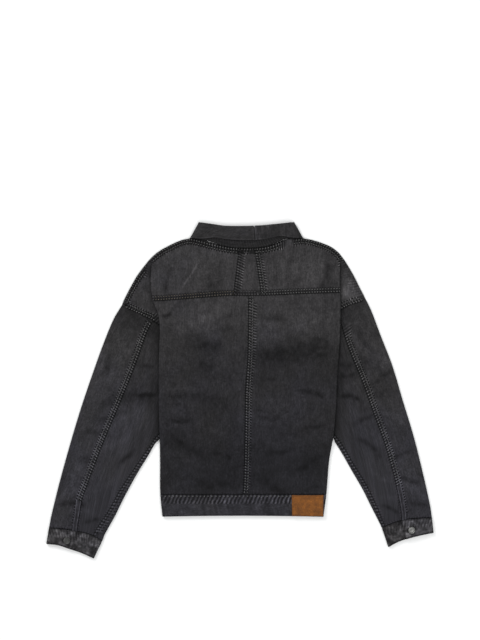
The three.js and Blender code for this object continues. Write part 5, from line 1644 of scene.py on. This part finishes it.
BUTTON_PROFILE = (  # radius and height
    *((4.8, 0), (5.2, 0.3), (5.2, 0.8), (7.3, 1.0)),
    *((7.9, 1.4), (8, 1.9), (7.9, 2.6), (7.5, 3.1), (6.9, 3.3)),
    *((6.3, 3.15), (5.9, 2.7), (5.6, 2.45), (4.2, 2.4)),
    *((3.4, 2.55), (2.2, 2.75), (1.2, 2.8), (0, 2.8)),
)


def cuff_button(side, material):
    """A tack button: a rolled rim round a dished top with a low dome in its middle."""
    x, y = button_place(side)
    vertices, faces = turned_ring(BUTTON_PROFILE, 48)
    lift = float(cuff_top_z(side, CUFF_BUTTON[side])) + BAND / 2 + REST_GAP
    piece = new_mesh(f"tack_button_{side}", vertices + np.array([x, y, lift]), faces, material)
    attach(piece, "root")
    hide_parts(f"cuff_button_{side}")


class Thread:
    """Rows of stitches, gathered into one mesh for a part of the jacket."""

    def __init__(self, name):
        self.name = name
        self.starts, self.ends, self.ups = [], [], []

    def row(self, cloth, axis, at_end, distance, part=""):
        """A row of stitches this far in from a seam of the cloth, where it is sewn."""
        places, across, share = cloth.seams[axis, at_end, part]
        face, normals = cloth.face(), grid_normals(cloth.grid, cloth.outside)
        fields = [np.moveaxis(field, 1 - axis, 0) for field in (places, across, share)]
        face, normals = np.moveaxis(face, 1 - axis, 0), np.moveaxis(normals, 1 - axis, 0)
        if at_end:
            fields = [field[:, ::-1] for field in fields]
            face, normals = face[:, ::-1], normals[:, ::-1]
        places, across, share = fields
        found = []
        for i in range(len(across)):
            crossed = np.flatnonzero((across[i, :-1] < distance) & (across[i, 1:] >= distance))
            if len(crossed) == 0 or share[i, crossed[0]] < 0.8:
                continue
            j = crossed[0]
            f = (distance - across[i, j]) / (across[i, j + 1] - across[i, j])
            found.append([*lerp(face[i, j], face[i, j + 1], f), *normals[i, j],
                          lerp(places[i, j], places[i, j + 1], f) / STITCH["pitch"]])
        if len(found) < 3:
            return
        found = np.array(found)
        found = found[np.argsort(found[:, 6])]
        line, ups, places = found[:, :3], found[:, 3:6], found[:, 6]
        at = np.arange(np.ceil(places[0]), np.floor(places[-1]) + 1)
        gap = np.interp(at, places[:-1], np.diff(places)) < 1.5
        at = at[gap]
        reach = STITCH["share"] / 2
        for centres, store in ((at - reach, self.starts), (at + reach, self.ends)):
            store.append(np.stack([np.interp(centres, places, line[:, k]) for k in range(3)], -1))
        self.ups.append(np.stack([np.interp(at, places, ups[:, k]) for k in range(3)], -1))

    def build(self, material):
        start, end = np.concatenate(self.starts), np.concatenate(self.ends)
        up = np.concatenate(self.ups)
        along = end - start
        sideways = np.cross(up, along)
        length = np.maximum(np.linalg.norm(sideways, axis=1, keepdims=True), 1e-6)
        sideways = sideways / length * STITCH["width"] / 2
        middle = (start + end) / 2 + up * 0.08
        low, high = up * 0.12, up * STITCH["height"]
        ring = [middle + sideways, middle + high, middle - sideways, middle - low]
        vertices = np.stack([start - low, *ring, end - low], axis=1)
        base = 6 * np.arange(len(start))[:, None]
        corners = [(0, 2, 1), (0, 3, 2), (0, 4, 3), (0, 1, 4)]
        corners += [(5, 1, 2), (5, 2, 3), (5, 3, 4), (5, 4, 1)]
        faces = np.concatenate([base + np.array([corner]) for corner in corners])
        shade = np.repeat(np.random.default_rng(9).uniform(-0.4, 0.4, len(start)), 6)
        vertices = vertices.reshape(-1, 3)
        piece = new_mesh(self.name, vertices, faces.tolist(), material, tone=shade)
        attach(piece, "root")


# Materials


THREAD_STOPS = 2.05  # how light the stitches in the cloth's colour are
OFF_LATTICE = (0.31, 0.57, 0.43)  # noise is flatter on the whole numbers
DENIM_DYES = (0.0262, 0.0250, 0.0260, 1), (0.0226, 0.0219, 0.0264, 1)  # neutral and blue
LEATHER_DYE = (0.148, 0.049, 0.0055)
GREY_THREAD = (0.15, 0.15, 0.145)
TAN_THREAD = (0.12, 0.094, 0.062)
METALS = {
    "bright_pewter": ((0.16, 0.16, 0.155), 0.38),
    "dark_pewter": ((0.075, 0.075, 0.073), 0.45),
    "dull_pewter": ((0.3, 0.3, 0.29), 0.42),
}
FLOOR_LIGHT = 0.92


class Graph:
    """A material, and short ways to add its shader nodes."""

    def __init__(self, name):
        self.material = bpy.data.materials.new(name)
        self.material.use_nodes = True
        tree = self.material.node_tree
        self.nodes, self.links = tree.nodes, tree.links
        self.shader = tree.nodes["Principled BSDF"]

    def put(self, node, name, value):
        """Joins an input of a node to a socket, or sets it."""
        if isinstance(value, bpy.types.NodeSocket):
            self.links.new(value, node.inputs[name])
        else:
            node.inputs[name].default_value = value

    def add(self, kind, inputs=(), **settings):
        node = self.nodes.new(kind)
        for name, value in settings.items():
            setattr(node, name, value)
        for name, value in dict(inputs).items():
            self.put(node, name, value)
        return node

    def read(self, name, output="Vector"):
        """What the mesh gives at each point under this name."""
        return self.add("ShaderNodeAttribute", attribute_name=name).outputs[output]

    def object_place(self):
        return self.add("ShaderNodeTexCoord").outputs["Object"]

    def math(self, operation, a, b=0.0):
        return self.add("ShaderNodeMath", {0: a, 1: b}, operation=operation).outputs[0]

    def product(self, a, *others):
        for other in others:
            a = self.math("MULTIPLY", a, other)
        return a

    def total(self, *terms):
        """The sum of pairs of a socket and its weight."""
        result = 0.0
        for socket, weight in terms:
            inputs = {0: socket, 1: weight, 2: result}
            result = self.add("ShaderNodeMath", inputs, operation="MULTIPLY_ADD").outputs[0]
        return result

    def clamp(self, value):
        return self.add("ShaderNodeClamp", {0: value}).outputs[0]

    def bell(self, value, centre, width):
        away = self.math("DIVIDE", self.math("SUBTRACT", value, centre), width)
        return self.math("EXPONENT", self.product(away, away, -1.0))

    def ramp(self, value, low, high, start=0.0, end=1.0, kind="LINEAR"):
        """From start to end as the value goes from low to high."""
        inputs = {0: value, 1: low, 2: high, 3: start, 4: end}
        return self.add("ShaderNodeMapRange", inputs, interpolation_type=kind).outputs[0]

    def scaled(self, vector, scale):
        inputs = {0: vector, 1: scale, 2: OFF_LATTICE}
        return self.add("ShaderNodeVectorMath", inputs, operation="MULTIPLY_ADD").outputs[0]

    def noise(self, vector, scale, detail=3.0, rough=0.55):
        """Noise about 0, from about -0.5 to 0.5."""
        inputs = {"Vector": self.scaled(vector, scale), "Scale": 1.0}
        inputs.update({"Detail": detail, "Roughness": rough})
        made = self.add("ShaderNodeTexNoise", inputs)
        return self.math("SUBTRACT", made.outputs["Fac"], 0.5)

    def finish(self, dye, stops, roughness, height=None, strength=0.0, **fixed):
        """Joins the dye, made lighter by stops, the roughness and the relief to the shader,
        and sets the values that are the same all over."""
        inputs = {0: dye, "Scale": self.math("POWER", 2.0, stops)}
        colour = self.add("ShaderNodeVectorMath", inputs, operation="SCALE").outputs[0]
        self.put(self.shader, "Base Color", colour)
        self.put(self.shader, "Roughness", roughness)
        if height:
            inputs = {"Strength": strength, "Distance": 1.0, "Height": height}
            bump = self.add("ShaderNodeBump", inputs).outputs[0]
            self.put(self.shader, "Normal", bump)
        for name, value in fixed.items():
            self.put(self.shader, name.replace("_", " "), value)
        return self.material


def seam_pattern(graph):
    """The tone and height that a seam's stitches and puckers give, from its attribute: the
    place along it, the distance from it, and its weight: up to 0.5 for puckers, up to 1 for
    stitches too, and up to 1.5 for stitches without the bars across. Also how much of each
    point is stitches."""
    place = graph.read("seam")
    along, across, weight = graph.add("ShaderNodeSeparateXYZ", {0: place}).outputs
    twice = graph.math("MULTIPLY", weight, 2.0)
    puckers = graph.clamp(twice)
    stitched = graph.clamp(graph.math("SUBTRACT", twice, 1.0))
    ladder = graph.clamp(graph.math("SUBTRACT", 3.0, twice))

    def wave_of(slant, uneven):
        turn = graph.total((along, 1.0), (across, slant), (uneven, 4.5))
        return graph.math("COSINE", graph.product(turn, 2 * np.pi / STITCH["pitch"]))

    uneven = graph.noise(place, (0.09, 0.11, 0), 2)
    patchy = graph.noise(place, (0.05, 0.03, 0), 2)
    gain = graph.product(graph.ramp(patchy, -0.25, 0.2, 0.35, 1.2), puckers)
    past_end = graph.total((across, 1.0), (stitched, 7.0), (19.0, -1.0))
    within = graph.ramp(past_end, 0.0, 3.5, 1.0, 0.0, kind="SMOOTHSTEP")
    lap = graph.ramp(across, -1.5, 0.5, kind="SMOOTHSTEP")
    beside = graph.ramp(across, -8.0, -1.0, kind="SMOOTHSTEP")
    band = graph.product(graph.total((lap, 0.75), (beside, 0.25)), within, gain)
    dots = graph.total((wave_of(0.0, 0.0), 0.5), (0.5, 1.0))
    bars = graph.product(band, ladder, wave_of(0.3, uneven))
    rows = [graph.bell(across, row, GROOVE["width"]) for row in STITCH_ROWS]
    rows = graph.product(graph.math("ADD", *rows), stitched, gain)
    between = graph.product(graph.bell(across, np.mean(STITCH_ROWS) - 0.1, 1.8), stitched)
    ditch = graph.product(graph.bell(across, -0.3, 1.3), puckers)
    sewn = graph.clamp(graph.product(rows, dots))
    bold_bars = graph.product(bars, stitched)
    # painted shade: the ditch along the seam line is darkened
    tone = graph.total(
        (rows, -0.5), (bars, 1.5), (bold_bars, 1.2), (band, -0.2), (between, -0.6), (ditch, -0.9)
    )
    height = graph.total((bars, 1.0), (ditch, -1.0), (rows, -0.4))
    return tone, height, sewn


def wrinkle_pattern(graph, cloth):
    """Short fine wrinkles across the warp, in patches, below 0 where the cloth is creased."""
    bent = graph.noise(cloth, (0.016, 0.05, 0), 3, 0.5)
    patch = graph.ramp(graph.noise(cloth, (0.02, 0.025, 0), 1), 0.0, 0.2, 0.0, -0.5)
    return graph.product(graph.bell(bent, 0.0, 0.022), patch)


def denim_material():
    """Washed denim: warp streaks and slubs, a steep twill, mottling, and the tone that each mesh
    gives as stops of light, which holds its washing and the painted shade and highlights."""
    graph = Graph("washed_black_denim")
    cloth, tone = graph.read("cloth"), graph.read("tone", "Fac")
    streaks = graph.noise(cloth, (0.55, 0.06, 0), 3)
    slubs = graph.noise(cloth, (1.4, 0.16, 0), 2)
    mottle = graph.noise(cloth, (0.09, 0.06, 0), 4, 0.62)
    clouds = graph.noise(cloth, (0.022, 0.018, 0), 2)
    specks = graph.noise(cloth, (0.32, 0.22, 0), 3, 0.75)
    wrinkles = wrinkle_pattern(graph, cloth)
    ribs = {"Vector": graph.scaled(cloth, (1.0, 0.42, 0)), "Scale": 0.62}
    ribs.update({"Distortion": 0.6, "Detail": 1.0, "Detail Scale": 2.0})
    twill = graph.add("ShaderNodeTexWave", ribs, wave_type="BANDS", bands_direction="DIAGONAL")
    twill = twill.outputs["Fac"]
    seam_tone, seam_height, sewn = seam_pattern(graph)
    # the fine wrinkles only darken the cloth: painted shade in their creases, besides their bump
    stops = graph.total(
        (tone, 1.0), (streaks, 1.5), (slubs, 1.4), (mottle, 1.7), (clouds, 1.0), (specks, 3.0),
        (twill, 0.16), (seam_tone, 1.0), (wrinkles, 1.0),
    )
    to_thread = graph.math("SUBTRACT", THREAD_STOPS, stops)
    stops = graph.total((stops, 1.0), (graph.product(sewn, to_thread), 1.0))
    blue = graph.add("ShaderNodeSeparateXYZ", {0: cloth}).outputs[2]
    share = graph.clamp(graph.total((blue, 1.0), (clouds, 1.2)))
    tints = {0: share, 6: DENIM_DYES[0], 7: DENIM_DYES[1]}
    dye = graph.add("ShaderNodeMix", tints, data_type="RGBA").outputs[2]
    rough = graph.ramp(graph.total((specks, 1.0), (tone, 0.1)), 0.0, 1.0, 0.8, 0.95)
    height = graph.total(
        (twill, 0.00012), (slubs, 0.00016), (streaks, 0.0002), (mottle, 0.0008),
        (seam_height, 0.0004), (wrinkles, 0.0006),
    )
    sheen = {"Sheen_Weight": 0.03, "Sheen_Roughness": 0.5, "Sheen_Tint": (0.8, 0.8, 0.85, 1)}
    return graph.finish(dye, stops, rough, height, 0.7, Specular_IOR_Level=0.12, **sheen)


def leather_material():
    """Tan leather with a fine grain, darker where its edges are worn and pressed."""
    graph = Graph("tan_leather")
    cloth, tone = graph.read("cloth"), graph.read("tone", "Fac")
    grain = {"Vector": cloth, "Scale": 1.1}
    cells = graph.add("ShaderNodeTexVoronoi", grain, feature="DISTANCE_TO_EDGE")
    cells = cells.outputs["Distance"]
    mottle = graph.noise(cloth, (0.07, 0.09, 1), 5, 0.6)
    fibres = graph.noise(cloth, (0.5, 0.3, 1), 3)
    stops = graph.total((tone, 1.0), (mottle, 3.2), (fibres, 1.8), (cells, 0.5))
    height = graph.total((cells, 0.0002), (mottle, 0.0005), (fibres, 0.00015))
    rough = graph.ramp(mottle, -0.3, 0.3, 0.48, 0.64)
    return graph.finish(LEATHER_DYE, stops, rough, height, 0.8, Specular_IOR_Level=0.22)


def thread_material(name, dye):
    graph = Graph(name)
    plies = graph.noise(graph.object_place(), (900, 900, 900), 2)
    stops = graph.total((graph.read("tone", "Fac"), 1.0), (plies, 0.8))
    return graph.finish(dye, stops, 0.7)


def metal_material(name):
    """Cast button metal, brushed and a little tarnished."""
    dye, roughness = METALS[name]
    graph = Graph(name)
    place = graph.object_place()
    tarnish = graph.noise(place, (420, 420, 420), 4)
    scratches = graph.noise(place, (3200, 500, 900), 2)
    stops = graph.total((tarnish, 1.1), (scratches, 0.4))
    rough = graph.ramp(tarnish, -0.3, 0.3, roughness - 0.08, roughness + 0.12)
    height = graph.total((tarnish, 0.00008), (scratches, 0.00003))
    return graph.finish(dye, stops, rough, height, 0.6, Metallic=1.0)


def paper_material():
    graph = Graph("pale_floor")
    grain = graph.noise(graph.object_place(), (60, 60, 60), 3)
    return graph.finish((FLOOR_LIGHT,) * 3, graph.product(grain, 0.016), 0.9)


# Camera, light and floor


VIEW_CENTRE = (0, 161.7)
VIEW_HEIGHT = 1472  # of the frame, on the jacket
LENS = 85
SENSOR = 36
JACKET_MIDDLE_Z = 6
FLOOR_HALF = 12000
FLOOR_DROP = 0.1


def set_camera():
    data = bpy.data.cameras.new("camera")
    data.lens, data.sensor_width = LENS, SENSOR
    data.clip_end = 20
    camera = bpy.data.objects.new("camera", data)
    distance = VIEW_HEIGHT * LENS / SENSOR + JACKET_MIDDLE_Z
    camera.location = (VIEW_CENTRE[0] * MM, VIEW_CENTRE[1] * MM, distance * MM)
    bpy.context.scene.collection.objects.link(camera)
    bpy.context.scene.camera = camera


def add_area_light(name, place, size, power):
    """A round soft light that is turned to the jacket."""
    data = bpy.data.lights.new(name, "AREA")
    data.shape, data.size, data.energy = "DISK", size, power
    lamp = bpy.data.objects.new(name, data)
    x, y, z = lamp.location = place
    lamp.rotation_euler = (np.arctan2(np.hypot(x, y), z), 0, np.arctan2(x, -y))
    bpy.context.scene.collection.objects.link(lamp)


def set_light():
    world = bpy.data.worlds.new("studio")
    world.use_nodes = True
    sky = world.node_tree.nodes["Background"].inputs
    sky["Color"].default_value = (0.99, 1, 1, 1)
    sky["Strength"].default_value = 0.72
    bpy.context.scene.world = world
    add_area_light("key", (-1.7, 1.9, 1.5), 1.1, 44)
    add_area_light("fill", (1.4, -1.5, 2.6), 2.2, 34)
    bpy.context.scene.view_settings.view_transform = "Standard"


def add_floor():
    half, level = FLOOR_HALF, -FLOOR_DROP
    corners = [(-half, -half, level), (half, -half, level), (half, half, level), (-half, half, level)]
    new_mesh("floor", corners, [(0, 1, 2, 3)], paper_material())


# The jacket


def dress(cloth, material):
    """Makes a piece of cloth in place of its CAD node."""
    piece = cloth.mesh(material)
    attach(piece, "root")
    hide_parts(cloth.node)
    flat, area = cloth.flat_size()


def make_side(side, denim, threads):
    """All the cloth of the jacket's left or right, and the stitches of its seams."""
    plan = SleevePlan(side)
    yoke, panel = yoke_side(side), back_panel(side)
    outer, inner, wrist = sleeve_outer(plan), sleeve_inner(plan), cuff(side)
    for row in STITCH_ROWS:
        threads["yoke" if side == "left" else "body"].row(yoke, 1, False, row)
        threads["body"].row(yoke, 1, False, row, "cap")
        threads["body"].row(yoke, 1, True, row)
        threads["body"].row(yoke, 0, False, row)
        if side == "right":
            threads["body"].row(panel, 0, False, row)
        threads["sleeves"].row(outer, 0, False, row)
    threads["sleeves"].row(wrist, 1, False, GATHER_ROW)
    for back in (yoke, panel):
        dress(back, denim)
    dress(outer, denim)
    dress(inner, denim)
    dress(sleeve_placket(plan), denim)
    dress(wrist, denim)
    dress(collar_leaf(side), denim)
    dress(front_panel(side), denim)


def make_jacket():
    denim = denim_material()
    grey, tan = thread_material("grey_thread", GREY_THREAD), thread_material("tan_thread", TAN_THREAD)
    threads = {name: Thread("thread_" + name) for name in ("body", "sleeves", "yoke")}
    for side in SIDES:
        make_side(side, denim, threads)
    dress(yoke_centre(), denim)
    dress(collar_stand(), denim)
    band = waistband()
    threads["body"].row(band, 1, True, GATHER_ROW)
    dress(band, denim)
    dress(front_placket(), denim)
    dress(waist_patch(), leather_material())
    for name, thread in threads.items():
        thread.build(tan if name == "yoke" else grey)
    cuff_button("right", metal_material("bright_pewter"))
    cuff_button("left", metal_material("dark_pewter"))
    dull = metal_material("dull_pewter")
    for name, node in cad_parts.items():
        if name.startswith("front_button") or name == "waist_button":
            node.data.materials.clear()
            node.data.materials.append(dull)


set_camera()
set_light()
add_floor()
make_jacket()
